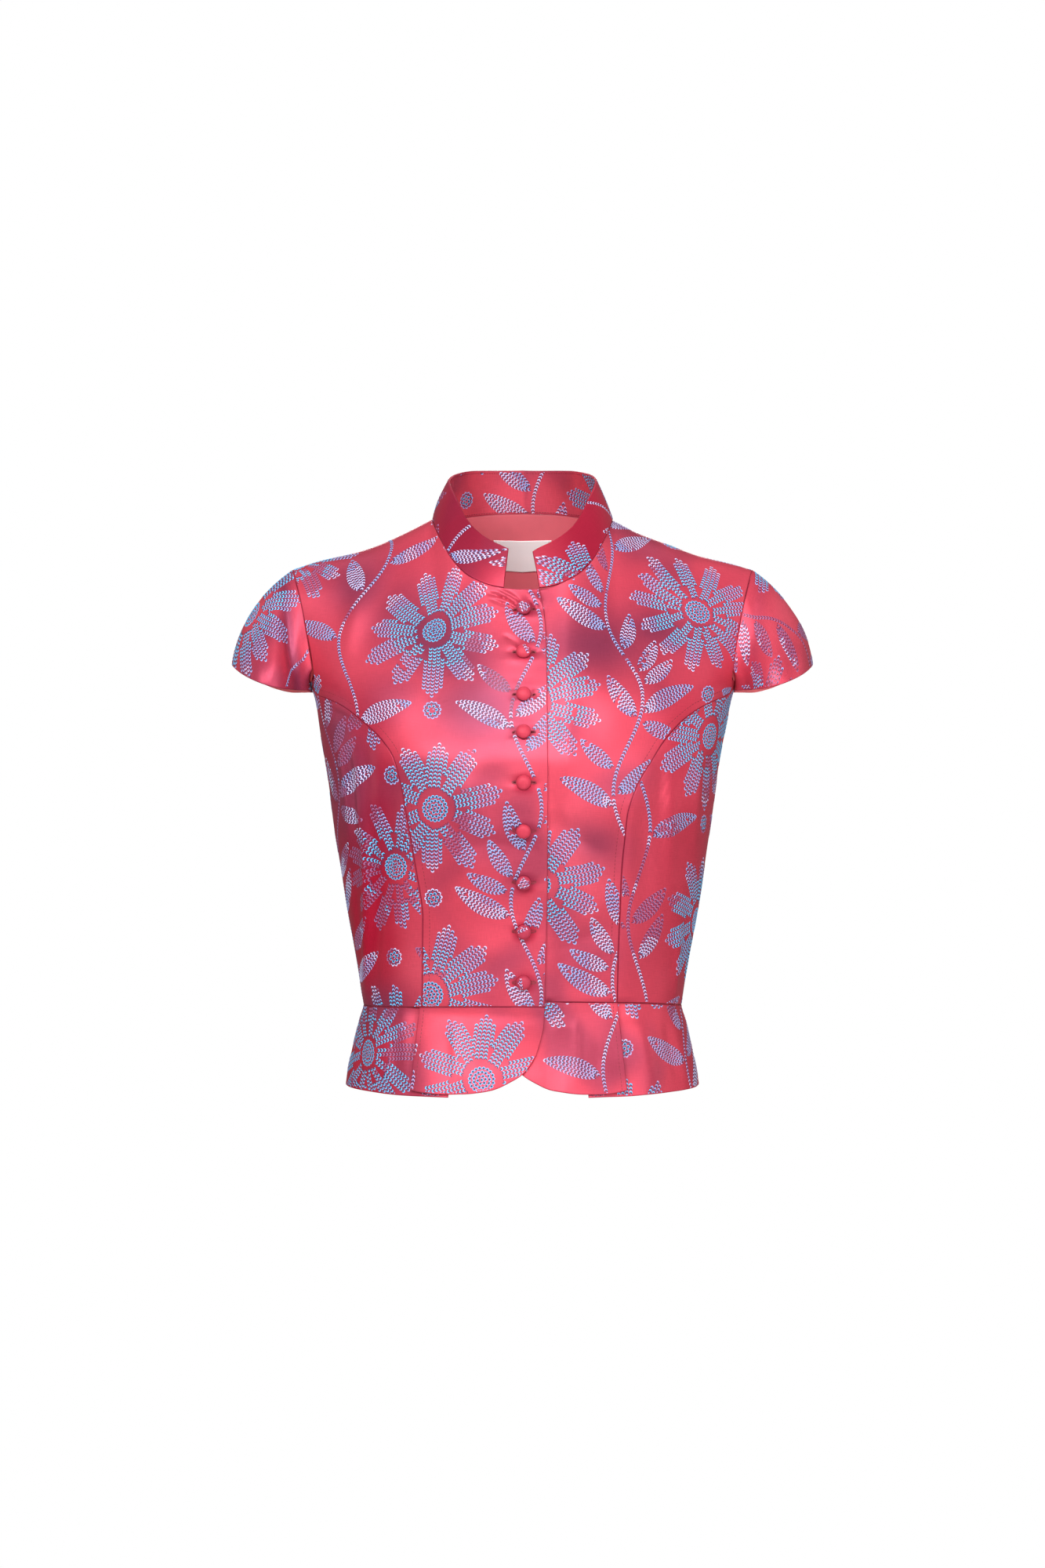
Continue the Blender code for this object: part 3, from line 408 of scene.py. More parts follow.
def between(grid, i, j):
    """Points of a grid at broken indices."""
    i0, j0 = (np.clip(np.floor(a).astype(int), 0, n - 2) for a, n in ((i, grid.shape[0]), (j, grid.shape[1])))
    a, b = (i - i0)[..., None], (j - j0)[..., None]
    return ((1 - a) * (1 - b) * grid[i0, j0] + a * (1 - b) * grid[i0 + 1, j0]
            + (1 - a) * b * grid[i0, j0 + 1] + a * b * grid[i0 + 1, j0 + 1])


def label_grid(fine=1):
    """The blank label on the facing, made from the facing's own points moved in."""
    points, normal, places = facing_grid()
    mid = (points.shape[0] - 1) // 2
    rows = np.arange(points.shape[1])
    reach = (LABEL_WIDTH / 2) / np.abs(points[mid + 1, -2, 0])
    top, bottom = np.interp([LABEL_Z + LABEL_HEIGHT / 2, LABEL_Z - LABEL_HEIGHT / 2], points[mid, :, 2], rows)
    i = np.unique(np.concatenate([mid + np.linspace(-reach, reach, 7 * fine), [mid - 1, mid, mid + 1]]))
    j = np.unique(np.concatenate([np.linspace(bottom, top, 3 * fine + 1), rows[(rows > bottom + 0.05) & (rows < top - 0.05)]]))
    i, j = np.meshgrid(i, j, indexing="ij")
    inward = between(normal, i, j)
    inward /= np.linalg.norm(inward, axis=-1, keepdims=True)
    return between(points, i, j) - inward * (FACING_WALL + 0.0004), inward, np.stack([i, j], -1)


# ---------------------------------------------------------------- peplum
def peplum(turn, z):
    """A point of the peplum's outer side."""
    turn, z = np.broadcast_arrays(np.asarray(turn, float), np.asarray(z, float))
    half, front, back = (smooth(PEPLUM, i, z) for i in (1, 2, 3))
    s, c = ring(turn)
    out = np.zeros_like(z)
    fall = np.clip((waist_z(turn) - z) / 0.068, 0, 1.1)
    degrees = np.degrees((turn + np.pi) % (2 * np.pi) - np.pi)
    for at, wide, high in FLUTES:
        off = (degrees - at + 180) % 360 - 180
        out = out + high * np.exp(-(off / wide) ** 2) * fall**1.4
    y = -np.where(c > 0, front, back) * c
    x = half * s
    reach = np.sqrt(x**2 + y**2)
    grow = 1 + out / reach
    return np.stack([x * grow, y * grow, z], -1)


def peplum_turn(x, z):
    u = np.clip(np.abs(x) / smooth(PEPLUM, 1, z), 0, 0.99999)
    turn = np.arctan2(u, (1 - u**ROUND) ** (1 / ROUND))
    return np.where(x < 0, -turn, turn)


def princess_hem(side):
    """Where the front peplum piece ends: distance from the centre at the waist and at the hem."""
    return (0.0822, 0.0881) if side < 0 else (0.0755, 0.0822)


def peplum_front_grid(side, fine=1, across=11, up=6):
    """A front peplum piece with its rounded front corner."""
    across, up = across * fine, up * fine
    corner = PEPLUM_CORNER.copy()
    at_waist, at_hem = princess_hem(side)
    corner[-1, 0], corner[-2, 0] = -at_hem, -at_hem + 0.008
    v = np.linspace(0, 1, up + 1)
    edge_z = WAIST_FRONT + (corner[0, 1] - WAIST_FRONT) * v
    edge_x = smooth(np.array([(0, 0.0176), (0.4, 0.0166), (0.75, 0.0136), (1, corner[0, 0])]), 1, v)
    inner = np.stack([-side * edge_x, edge_z], -1)
    waist = waist_z(0.6, side)
    outer = np.stack([side * (at_waist + (at_hem - at_waist) * v), waist + (corner[-1, 1] - waist) * v], -1)
    run = np.append(0, np.cumsum(np.hypot(*np.diff(corner, axis=0).T)))
    u = np.linspace(0, 1, across + 1)
    along = run[-1] * (0.35 * u**1.6 + 0.65 * u)
    hem = np.stack([-side * smooth(np.column_stack([run, corner[:, 0]]), 1, along),
                    smooth(np.column_stack([run, corner[:, 1]]), 1, along)], -1)
    waist_x = inner[0, 0] + (outer[0, 0] - inner[0, 0]) * u
    waist = np.stack([waist_x, waist_z(peplum_turn(waist_x, WAIST_FRONT), side)], -1)
    inner[0], outer[0] = waist[0], waist[-1]
    flat = patch(waist, hem, inner, outer)
    places = np.stack([peplum_turn(flat[..., 0], flat[..., 1]), flat[..., 1]], -1)
    points, normal = peplum(places[..., 0], places[..., 1]), normals(peplum, places)
    fall = np.clip((waist_z(places[..., 0]) - flat[..., 1]) / 0.068, 0, 1)
    lift = 0.0016 * fall * ramp(u, 0.75, 1.0)[:, None]
    if side > 0:
        lift = lift - (LAP_STEP + 0.0006 * fall) * (1 - ramp(flat[..., 0], 0.0186, 0.0330))
    return points + normal * lift[..., None], normal, places


def peplum_side_grid(side, fine=1, across=(4, 9), up=5):
    """A side peplum piece: its front part runs on under the front piece."""
    at_waist, at_hem = princess_hem(side)
    v = np.linspace(0, 1, up * fine + 1)[None]
    waist_turn = peplum_turn(at_waist, WAIST_FRONT)
    cover = at_waist + (at_hem - at_waist) * v
    waist = waist_z(0.6, side)
    z_front = waist + (-0.4613 - waist) * v
    t_cover = peplum_turn(cover, z_front)
    t_start = peplum_turn(cover - UNDERLAY, z_front)
    low = np.linspace(0, 1, across[0] * fine + 1)[:-1, None]
    high = np.linspace(0, 1, across[1] * fine + 1)[:, None]
    turn = np.concatenate([t_start + (t_cover - t_start) * low, t_cover + (SIDE_SEAM - t_cover) * high])
    hem = -0.4613 + (HEM_SIDE + 0.4613) * ramp(turn, waist_turn, SIDE_SEAM)
    z = waist_z(turn, side) + (hem - waist_z(turn, side)) * v
    places = np.stack([side * turn, z], -1)
    points, normal = peplum(places[..., 0], z), normals(peplum, places)
    step = 0.0024 * (1 - ramp((turn - t_cover) * 0.125, 0.001, 0.018))
    return points - normal * step[..., None], normal, places


def peplum_back_grid(fine=1, across=22, up=5):
    turn = np.linspace(SIDE_SEAM, 2 * np.pi - SIDE_SEAM, across * fine + 1)[:, None]
    v = np.linspace(0, 1, up * fine + 1)[None]
    z = waist_z(turn) + (HEM_BACK - waist_z(turn)) * v
    places = np.stack([turn + np.zeros_like(v), z], -1)
    return peplum(places[..., 0], z), normals(peplum, places), places


# ---------------------------------------------------------------- collar
def collar_grid(fine=1, across=(12, 12), up=3):
    """The stand collar from the wearer's right end round the back to the left end."""
    front, back, up = across[0] * fine, across[1] * fine, up * fine

    def half_edge(side):            # from the centre-front end to the neck point
        end = COLLAR_ENDS["right" if side < 0 else "left"][0]
        x = end + (NECK_SIDE - end) * np.sin(np.linspace(0, 1, front + 1) * np.pi / 2) ** 0.9
        at = chart(side * x, smooth(NECK_FRONT, 1, x))
        at[-1, 1] = TOP_HIGH
        return body(at[:, 0], at[:, 1])

    w = -np.cos(np.linspace(0, np.pi, back + 1))
    at = chart(NECK_SIDE * w, smooth(NECK_BACK, 1, NECK_SIDE * np.abs(w)), behind=True)
    low = np.concatenate([half_edge(-1), body(at[:, 0], at[:, 1])[1:-1], half_edge(1)[::-1]])
    s = np.concatenate([np.linspace(0, 1, front, endpoint=False), np.linspace(1, 2, back, endpoint=False),
                        np.linspace(2, 3, front + 1)])
    right, left = (np.degrees(np.arcsin(COLLAR_ENDS[k][1] / COLLAR_TOP_HALF)) for k in ("right", "left"))
    knots = np.array([(0, right), (0.5, 46.0), (1, 88.0), (1.5, 180.0), (2, 272.0), (2.5, 314.0), (3, 360 - left)])
    degrees = -smooth(knots, 1, s)
    around = np.abs((degrees + 180) % 360 - 180)
    turn = np.radians(degrees)
    depth = np.where(np.cos(turn) > 0, COLLAR_TOP_FRONT, COLLAR_TOP_BACK)
    high = np.stack([COLLAR_TOP_HALF * np.sin(turn), -depth * np.cos(turn), smooth(COLLAR_TOP, 1, around)], -1)
    v = np.linspace(0, 1, up + 1)[None, :, None]
    points = low[:, None] * (1 - v) + high[:, None] * v
    out = points * (1, 1, 0)
    out /= np.linalg.norm(out, axis=-1, keepdims=True)
    points = points + out * (0.0012 * np.sin(np.pi * v))     # a soft outward belly across the stand
    normal = grid_normals(points)
    normal = normal if (normal * out).sum() > 0 else -normal
    return points, normal, np.stack(np.broadcast_arrays(s[:, None], v[..., 0]), -1)


# ---------------------------------------------------------------- sleeves
def armhole_loop(count):
    """The armhole of the wearer's left side: from the underarm up the front, over the shoulder, down the back."""
    start = underarm_high()
    high = start + (TOP_HIGH - start) * np.linspace(0, 1, 200)
    fore, aft = armhole(ARMHOLE_FRONT, high), armhole(ARMHOLE_BACK, high, behind=True)
    near = ramp(high, start - 0.012, start + 0.022)
    fore[:, 0] = np.pi / 2 + (fore[:, 0] - np.pi / 2) * near
    aft[:, 0] = np.pi / 2 + (aft[:, 0] - np.pi / 2) * near
    path = np.concatenate([body(fore[:, 0], fore[:, 1]), body(aft[::-1][1:, 0], aft[::-1][1:, 1])])
    run = np.append(0, np.cumsum(np.linalg.norm(np.diff(path, axis=0), axis=1)))
    half = run[199]
    share = np.arange(count) / count
    at = np.where(share <= 0.5, share * 2 * half, half + (share - 0.5) * 2 * (run[-1] - half))
    return np.stack([np.interp(at, run, path[:, i]) for i in range(3)], -1), share


def sleeve_grid(side, fine=1, around=28, out=5):
    """A set-in cap sleeve as a closed band from the armhole to its hem."""
    hole, share = armhole_loop(around * fine)
    angle = share * 2 * np.pi                     # 0 at the underarm, pi on top
    mid = (SLEEVE_HEM_IN + SLEEVE_HEM_OUT) / 2
    half = (SLEEVE_HEM_OUT - SLEEVE_HEM_IN) / 2
    turn = angle - 0.16 * np.sin(2 * angle)
    x = mid - half * np.cos(turn)
    y = -SLEEVE_HEM_HALF * np.sin(turn) * (1 + 0.06 * np.cos(turn))
    hem = np.stack([x, y, smooth(SLEEVE_HEM, 1, x)], -1)
    top = (1 - np.cos(angle)) / 2                 # 0 underarm, 1 shoulder
    fore = -np.sin(angle)
    under = 1 - ramp(top, 0.02, 0.22)
    # out of the armhole: down at the underarm, out and down elsewhere
    lead = np.stack([0.80 - 0.55 * under, 0.30 * fore * (1 - under), -0.52 - 0.10 * (1 - top) - 0.35 * under], -1)
    lead /= np.linalg.norm(lead, axis=1, keepdims=True)
    fall = np.stack([0.16 + 0.0 * top, 0.12 * fore, -np.ones_like(top)], -1)
    fall /= np.linalg.norm(fall, axis=1, keepdims=True)
    start = hole + lead * (0.0005 + 0.0004 * ramp(top, 0.8, 1.0))[:, None]
    start[:, 0] += 0.0009 * under
    start[:, 2] += 0.0004 * under
    length = np.linalg.norm(hem - start, axis=1, keepdims=True)
    p1, p2 = start + lead * length * 0.35, hem - fall * length * 0.36
    v = np.linspace(0, 1, out * fine + 1)[None, :, None]
    points = ((1 - v) ** 3 * start[:, None] + 3 * (1 - v) ** 2 * v * p1[:, None]
              + 3 * (1 - v) * v**2 * p2[:, None] + v**3 * hem[:, None]) * (side, 1, 1)
    normal = grid_normals(points, loop=True)
    middle = np.array([side * 0.190, 0, -0.125])
    normal = normal if (normal * (points - middle)).sum() > 0 else -normal
    return points, normal, np.stack(np.broadcast_arrays(angle[:, None], v[..., 0]), -1)


def button_place(z):
    """Centre and outward direction of a button on the lapping front."""
    place = chart(BUTTON_X, z)
    return body(place[0], place[1]), normals(body, place)



# ================================================================ surface relief
# Folds listed in metres, as the front view has them: start, middle and end points
# (across, height), half width, height of the fold (a trough is negative), and how much
# steeper its right side is.
#    x0      z0       x1      z1       x2      z2      wide    high    lean
FRONT_FOLDS = np.array([
    (-0.1270, -0.2330, -0.1215, -0.2740, -0.1262, -0.3860, 0.0030, 0.0024, 0.25),
    (-0.1185, -0.2370, -0.1130, -0.2830, -0.1180, -0.3820, 0.0042, -0.0019, 0.00),
    (-0.1105, -0.2560, -0.1165, -0.2930, -0.1200, -0.3270, 0.0036, 0.0014, 0.10),
    (-0.1030, -0.2150, -0.1025, -0.2650, -0.1090, -0.3080, 0.0056, -0.0017, 0.20),
    (-0.1460, -0.1790, -0.1395, -0.2160, -0.1360, -0.2650, 0.0040, 0.0016, 0.10),
    (-0.1570, -0.1570, -0.1390, -0.1630, -0.1220, -0.1760, 0.0036, -0.0013, 0.00),
    (-0.1345, -0.1840, -0.1290, -0.2130, -0.1275, -0.2580, 0.0030, 0.0017, 0.20),
    (-0.1400, -0.1900, -0.1345, -0.2200, -0.1325, -0.2500, 0.0030, -0.0012, 0.00),
    (-0.1240, -0.1800, -0.1215, -0.2060, -0.1205, -0.2330, 0.0036, -0.0014, 0.00),
    (0.1090, -0.1950, 0.1075, -0.2350, 0.1105, -0.2780, 0.0046, -0.0013, 0.00),
    (0.1175, -0.2050, 0.1160, -0.2500, 0.1180, -0.3000, 0.0040, 0.0012, 0.10),
    (-0.1350, -0.2900, -0.1310, -0.3300, -0.1290, -0.3700, 0.0026, -0.0008, 0.00),
    (0.1268, -0.3330, 0.1246, -0.3580, 0.1232, -0.3840, 0.0024, 0.0013, 0.10),
    (0.1320, -0.3080, 0.1306, -0.3450, 0.1282, -0.3820, 0.0030, -0.0011, 0.00),
    (0.0870, -0.2220, 0.0825, -0.2530, 0.0850, -0.2960, 0.0062, 0.0012, 0.10),
    (0.0985, -0.2280, 0.0960, -0.2700, 0.0985, -0.3300, 0.0070, -0.0011, 0.00),
    (0.1480, -0.1570, 0.1330, -0.1670, 0.1150, -0.1700, 0.0040, -0.0010, 0.00),
    (0.1430, -0.1900, 0.1380, -0.2300, 0.1370, -0.2700, 0.0040, 0.0010, 0.00),
    (-0.0350, -0.1910, -0.0410, -0.2400, -0.0470, -0.2900, 0.0120, 0.0018, 0.00),
    (-0.0600, -0.2230, -0.0170, -0.2190, 0.0140, -0.2270, 0.0100, 0.0012, 0.00),
    (-0.0660, -0.2680, -0.0280, -0.2600, 0.0150, -0.2680, 0.0090, -0.0015, 0.00),
    (-0.0640, -0.3540, -0.0400, -0.3400, -0.0150, -0.3480, 0.0090, 0.0011, 0.00),
    (-0.0700, -0.3790, -0.0350, -0.3826, -0.0070, -0.3765, 0.0030, -0.0007, 0.00),
    (0.0220, -0.3750, 0.0560, -0.3720, 0.0720, -0.3790, 0.0034, -0.0008, 0.00),
    (0.0640, -0.3260, 0.0450, -0.2900, 0.0390, -0.2330, 0.0100, 0.0016, 0.00),
    (0.0210, -0.3570, 0.0480, -0.3320, 0.0740, -0.3280, 0.0080, -0.0016, 0.00),
    (0.0200, -0.2390, 0.0460, -0.2630, 0.0710, -0.2710, 0.0075, -0.0013, 0.00),
    (0.0330, -0.0330, 0.0430, -0.0680, 0.0400, -0.0930, 0.0075, 0.0009, 0.00),
    (-0.0410, -0.0330, -0.0480, -0.0600, -0.0660, -0.0880, 0.0080, -0.0008, 0.00),
    (-0.0980, -0.0360, -0.1130, -0.0700, -0.1260, -0.1110, 0.0100, -0.0010, 0.00),
    (-0.1250, -0.0480, -0.1360, -0.0820, -0.1430, -0.1150, 0.0080, 0.0009, 0.00),
    (0.0950, -0.0360, 0.1080, -0.0720, 0.1200, -0.1050, 0.0100, -0.0009, 0.00),
    (0.1290, -0.0480, 0.1370, -0.0860, 0.1440, -0.1180, 0.0080, 0.0009, 0.00),
    # the pull of the top button on the neckline
    (-0.0260, -0.0640, -0.0110, -0.0670, -0.0030, -0.0750, 0.0016, -0.0022, 0.25),
    (-0.0180, -0.0612, -0.0070, -0.0650, -0.0010, -0.0722, 0.0014, -0.0014, 0.00),
    (-0.0250, -0.0690, -0.0140, -0.0715, -0.0050, -0.0772, 0.0014, -0.0013, 0.00),
    (-0.0220, -0.0664, -0.0100, -0.0692, -0.0040, -0.0760, 0.0012, 0.0011, 0.00),
    (0.0060, -0.0700, 0.0110, -0.0730, 0.0150, -0.0800, 0.0015, -0.0012, 0.00),
    (0.0050, -0.0640, 0.0110, -0.0660, 0.0160, -0.0740, 0.0018, 0.0007, 0.00),
    (-0.0130, -0.0790, -0.0080, -0.0795, -0.0040, -0.0780, 0.0012, -0.0006, 0.00),
    (-0.0120, -0.0835, -0.0070, -0.0825, -0.0030, -0.0795, 0.0013, -0.0006, 0.00),
    (-0.0140, -0.0985, -0.0070, -0.1010, -0.0020, -0.1080, 0.0018, -0.0009, 0.00)])

BACK_FOLDS = np.array([
    (-0.0920, -0.0560, -0.1080, -0.0980, -0.1230, -0.1440, 0.0100, -0.0012, 0.00),
    (-0.1240, -0.0620, -0.1350, -0.1020, -0.1440, -0.1400, 0.0080, 0.0010, 0.00),
    (0.0890, -0.0520, 0.1040, -0.0960, 0.1190, -0.1370, 0.0100, -0.0011, 0.00),
    (0.1230, -0.0660, 0.1340, -0.1040, 0.1450, -0.1460, 0.0085, 0.0011, 0.00),
    (-0.0280, -0.1500, -0.0330, -0.2100, -0.0380, -0.2600, 0.0150, 0.0013, 0.00),
    (0.0330, -0.1350, 0.0300, -0.2000, 0.0350, -0.2700, 0.0150, 0.0011, 0.00),
    (0.0020, -0.1750, -0.0030, -0.2400, 0.0010, -0.3300, 0.0120, -0.0012, 0.00),
    (-0.0640, -0.2440, -0.0350, -0.2560, -0.0060, -0.2500, 0.0080, -0.0010, 0.00),
    (0.0080, -0.2880, 0.0380, -0.2960, 0.0640, -0.2860, 0.0075, -0.0010, 0.00),
    (-0.0700, -0.3340, -0.0360, -0.3440, -0.0080, -0.3370, 0.0070, -0.0009, 0.00),
    (0.0100, -0.3560, 0.0420, -0.3660, 0.0720, -0.3560, 0.0050, -0.0009, 0.00),
    (-0.1010, -0.2280, -0.0960, -0.2900, -0.1020, -0.3560, 0.0060, 0.0013, 0.00),
    (0.1020, -0.2120, 0.0980, -0.2800, 0.1030, -0.3620, 0.0055, 0.0012, 0.00),
    (-0.1120, -0.2100, -0.1080, -0.2700, -0.1110, -0.3420, 0.0050, -0.0011, 0.00),
    (0.1140, -0.2240, 0.1090, -0.2850, 0.1120, -0.3500, 0.0050, -0.0010, 0.00),
    (-0.1180, -0.3880, -0.0700, -0.3800, -0.0200, -0.3850, 0.0035, -0.0008, 0.00),
    (0.0180, -0.3860, 0.0720, -0.3790, 0.1150, -0.3880, 0.0035, -0.0008, 0.00),
    (-0.1320, -0.1620, -0.1200, -0.1720, -0.1060, -0.1760, 0.0040, -0.0010, 0.00),
    (0.1340, -0.1560, 0.1230, -0.1680, 0.1080, -0.1700, 0.0040, -0.0010, 0.00)])

PEPLUM_FOLDS = np.array([
    (-0.0535, -0.4010, -0.0520, -0.4290, -0.0502, -0.4600, 0.0048, 0.0010, 0.00),
    (-0.0300, -0.4060, -0.0290, -0.4280, -0.0310, -0.4560, 0.0060, -0.0007, 0.00),
    (-0.1140, -0.4070, -0.1150, -0.4310, -0.1175, -0.4560, 0.0058, 0.0014, 0.00),
    (-0.1030, -0.4010, -0.1010, -0.4320, -0.1000, -0.4590, 0.0048, -0.0014, 0.00),
    (-0.1270, -0.4030, -0.1300, -0.4300, -0.1330, -0.4560, 0.0040, -0.0010, 0.00),
    (0.0425, -0.3950, 0.0440, -0.4200, 0.0435, -0.4500, 0.0040, 0.0009, 0.00),
    (0.0300, -0.4000, 0.0310, -0.4250, 0.0300, -0.4520, 0.0050, -0.0006, 0.00),
    (0.0950, -0.4010, 0.0995, -0.4320, 0.1045, -0.4570, 0.0060, 0.0011, 0.00),
    (0.1130, -0.3950, 0.1185, -0.4260, 0.1250, -0.4540, 0.0048, -0.0012, 0.00),
    (0.0640, -0.4050, 0.0650, -0.4300, 0.0665, -0.4570, 0.0050, 0.0006, 0.00)])

PEPLUM_BACK_FOLDS = np.array([
    (-0.1060, -0.4020, -0.1110, -0.4300, -0.1150, -0.4580, 0.0055, -0.0012, 0.00),
    (-0.0600, -0.3990, -0.0620, -0.4300, -0.0660, -0.4590, 0.0060, 0.0012, 0.00),
    (-0.0250, -0.4040, -0.0240, -0.4310, -0.0260, -0.4590, 0.0055, -0.0010, 0.00),
    (0.0120, -0.3980, 0.0140, -0.4280, 0.0150, -0.4600, 0.0060, 0.0010, 0.00),
    (0.0520, -0.4030, 0.0560, -0.4300, 0.0590, -0.4590, 0.0050, -0.0011, 0.00),
    (0.0920, -0.4000, 0.0980, -0.4290, 0.1030, -0.4580, 0.0055, 0.0012, 0.00)])

SLEEVE_FOLDS = np.array([
    (0.1975, -0.0640, 0.2010, -0.0980, 0.1990, -0.1300, 0.0070, 0.0009, 0.00),
    (0.1880, -0.0600, 0.1870, -0.0950, 0.1830, -0.1290, 0.0046, -0.0012, 0.00),
    (0.2140, -0.0700, 0.2190, -0.0960, 0.2170, -0.1260, 0.0050, -0.0008, 0.00)])
# the deep crease that only the left sleeve of the view has, from its head to the underarm
SLEEVE_CREASE = np.array([
    (-0.1925, -0.0640, -0.1885, -0.1020, -0.1800, -0.1370, 0.0034, -0.0019, 0.20),
    (-0.2010, -0.0720, -0.1985, -0.1040, -0.1925, -0.1330, 0.0050, 0.0012, 0.00),
    (0.1830, -0.0660, 0.1880, -0.0980, 0.1850, -0.1310, 0.0042, 0.0008, 0.00)])

# the small dips at the two ends of each buttonhole
HOLE_DIP = 0.0010
BUTTONHOLE = (-0.0071, 0.0096)      # where a buttonhole starts and ends, across


FOLD_LIFT = 1.35      # how much all folds are raised together


def creased(table, x, z):
    """Height of these folds at points of the front (or back) view."""
    out = np.zeros(np.shape(x))
    u = np.linspace(0, 1, 15)[:, None]
    for x0, z0, x1, z1, x2, z2, wide, high, lean in table:
        run = np.hstack([(1 - u) ** 2 * x0 + 2 * u * (1 - u) * x1 + u**2 * x2,
                         (1 - u) ** 2 * z0 + 2 * u * (1 - u) * z1 + u**2 * z2])
        low, top = run.min(0) - 4 * wide, run.max(0) + 4 * wide
        near = (x > low[0]) & (x < top[0]) & (z > low[1]) & (z < top[1])
        if not near.any():
            continue
        at = np.stack([x[near], z[near]], -1)
        a, b = run[:-1], run[1:]
        d = b - a
        t = np.clip(((at[:, None] - a) * d).sum(-1) / (d * d).sum(-1), 0, 1)
        off = at[:, None] - (a + t[..., None] * d)
        dist = np.hypot(off[..., 0], off[..., 1])
        k = dist.argmin(1)
        rows = np.arange(len(at))
        side = np.sign(off[rows, k, 0])
        place = (k + t[rows, k]) / (len(run) - 1)
        fade = np.sin(np.pi * np.clip(0.04 + 0.92 * place, 0, 1)) ** 0.75
        w = wide * (1 - lean * side)
        out[near] += FOLD_LIFT * high * fade * np.exp(-(dist[rows, k] / w) ** 2)
    return out


# the slack of the cloth: long soft waves, a row for each: across, down, turn, height
SLACK = np.array([
    (61.0, 23.0, 0.4, 0.00034), (-38.0, 47.0, 1.9, 0.00030), (84.0, -31.0, 3.1, 0.00022),
    (17.0, 74.0, 5.2, 0.00024), (112.0, 58.0, 2.3, 0.00014), (-97.0, 88.0, 0.9, 0.00014)])


def slack(points):
    x, y, z = points[..., 0], points[..., 1], points[..., 2]
    out = np.zeros(x.shape)
    for a, b, c, high in SLACK:
        out = out + high * np.sin(a * (x + 0.35 * y) + b * z + c + 1.3 * np.sin(9 * x + 2.1 * c) + 0.9 * np.sin(31 * y + c))
    return out


def relief(points):
    """How far the body's cloth stands off its plain form at these points."""
    x, y, z = points[..., 0], points[..., 1], points[..., 2]
    fore = ramp(-y, -0.004, 0.016)
    aft = ramp(y, -0.004, 0.016)
    out = creased(FRONT_FOLDS, x, z) * fore + creased(BACK_FOLDS, x, z) * aft + slack(points)
    for bz in BUTTON_Z:
        for end, way in zip(BUTTONHOLE, (-1, 1)):
            along = (x - end) * way
            dip = np.exp(-(along / np.where(along > 0, 0.0034, 0.0020)) ** 2 - ((z - bz) / 0.0016) ** 2)
            out = out - HOLE_DIP * dip * fore
        out = out + 0.0005 * fore * np.exp(-((x - BUTTON_X) / 0.013) ** 2) * (
            np.exp(-((z - bz - 0.006) / 0.0034) ** 2) + np.exp(-((z - bz + 0.006) / 0.0034) ** 2))
    # the two back darts draw the cloth in along their stitching
    for way in (-1, 1):
        line = np.abs(x - way * dart_x(z))
        out = out - 0.0008 * aft * np.exp(-(line / 0.0016) ** 2) * ramp(z, DART_TOP, DART_TOP - 0.03)
    return out


DART_TOP = -0.2150      # height where a back dart runs out


def dart_x(z):
    """Distance of a back dart from the centre."""
    return 0.0590 + 0.0130 * ramp(z, -0.3950, DART_TOP)


def peplum_relief(points):
    x, y, z = points[..., 0], points[..., 1], points[..., 2]
    fall = np.clip((-0.3935 - z) / 0.02, 0, 1)
    return (creased(PEPLUM_FOLDS, x, z) * ramp(-y, -0.004, 0.016)
            + creased(PEPLUM_BACK_FOLDS, x, z) * ramp(y, -0.004, 0.016)) * fall + slack(points)


def sleeve_relief(points):
    x, z = points[..., 0], points[..., 2]
    return creased(SLEEVE_FOLDS, np.abs(x), z) * 0.9 + creased(SLEEVE_CREASE, x, z) + slack(points) * 0.7


# ================================================================ fine grids of each piece
def unit(v):
    return v / (np.linalg.norm(v, axis=-1, keepdims=True) + 1e-12)


def outward(grid, plain, loop=False):
    """Normals of a displaced grid, on the side of the plain normals."""
    n = grid_normals(grid, loop)
    return np.where((n * plain).sum(-1, keepdims=True) < 0, -n, n)


def cloth_body(places):
    """Cloth places of chart places on the body: arc lengths across and up, as the panel lies flat."""
    turns = np.linspace(-2.0, 4.7, 420)
    highs = np.linspace(-0.262, 0.3142, 150)
    grid = body(turns[:, None], highs[None])
    across = np.vstack([np.zeros(len(highs)), np.cumsum(np.linalg.norm(np.diff(grid, axis=0), axis=2), axis=0)])
    zero = np.argmin(np.abs(turns))
    across = across - across[zero]
    up = np.hstack([np.zeros((len(turns), 1)), np.cumsum(np.linalg.norm(np.diff(grid, axis=1), axis=2), axis=1)])
    zero = np.argmin(np.abs(highs))
    up = up - up[:, zero:zero + 1]
    i = (places[..., 0] - turns[0]) / (turns[1] - turns[0])
    j = (places[..., 1] - highs[0]) / (highs[1] - highs[0])
    return between(np.stack([across, up], -1), i, j)


def cloth_peplum(places):
    turns = np.linspace(-2.0, 4.7, 420)
    zs = np.linspace(-0.470, -0.380, 40)
    grid = peplum(turns[:, None], zs[None])
    across = np.vstack([np.zeros(len(zs)), np.cumsum(np.linalg.norm(np.diff(grid, axis=0), axis=2), axis=0)])
    across = across - across[np.argmin(np.abs(turns))]
    up = np.hstack([np.zeros((len(turns), 1)), np.cumsum(np.linalg.norm(np.diff(grid, axis=1), axis=2), axis=1)])
    i = (places[..., 0] - turns[0]) / (turns[1] - turns[0])
    j = (places[..., 1] - zs[0]) / (zs[1] - zs[0])
    return between(np.stack([across, up], -1), i, j)


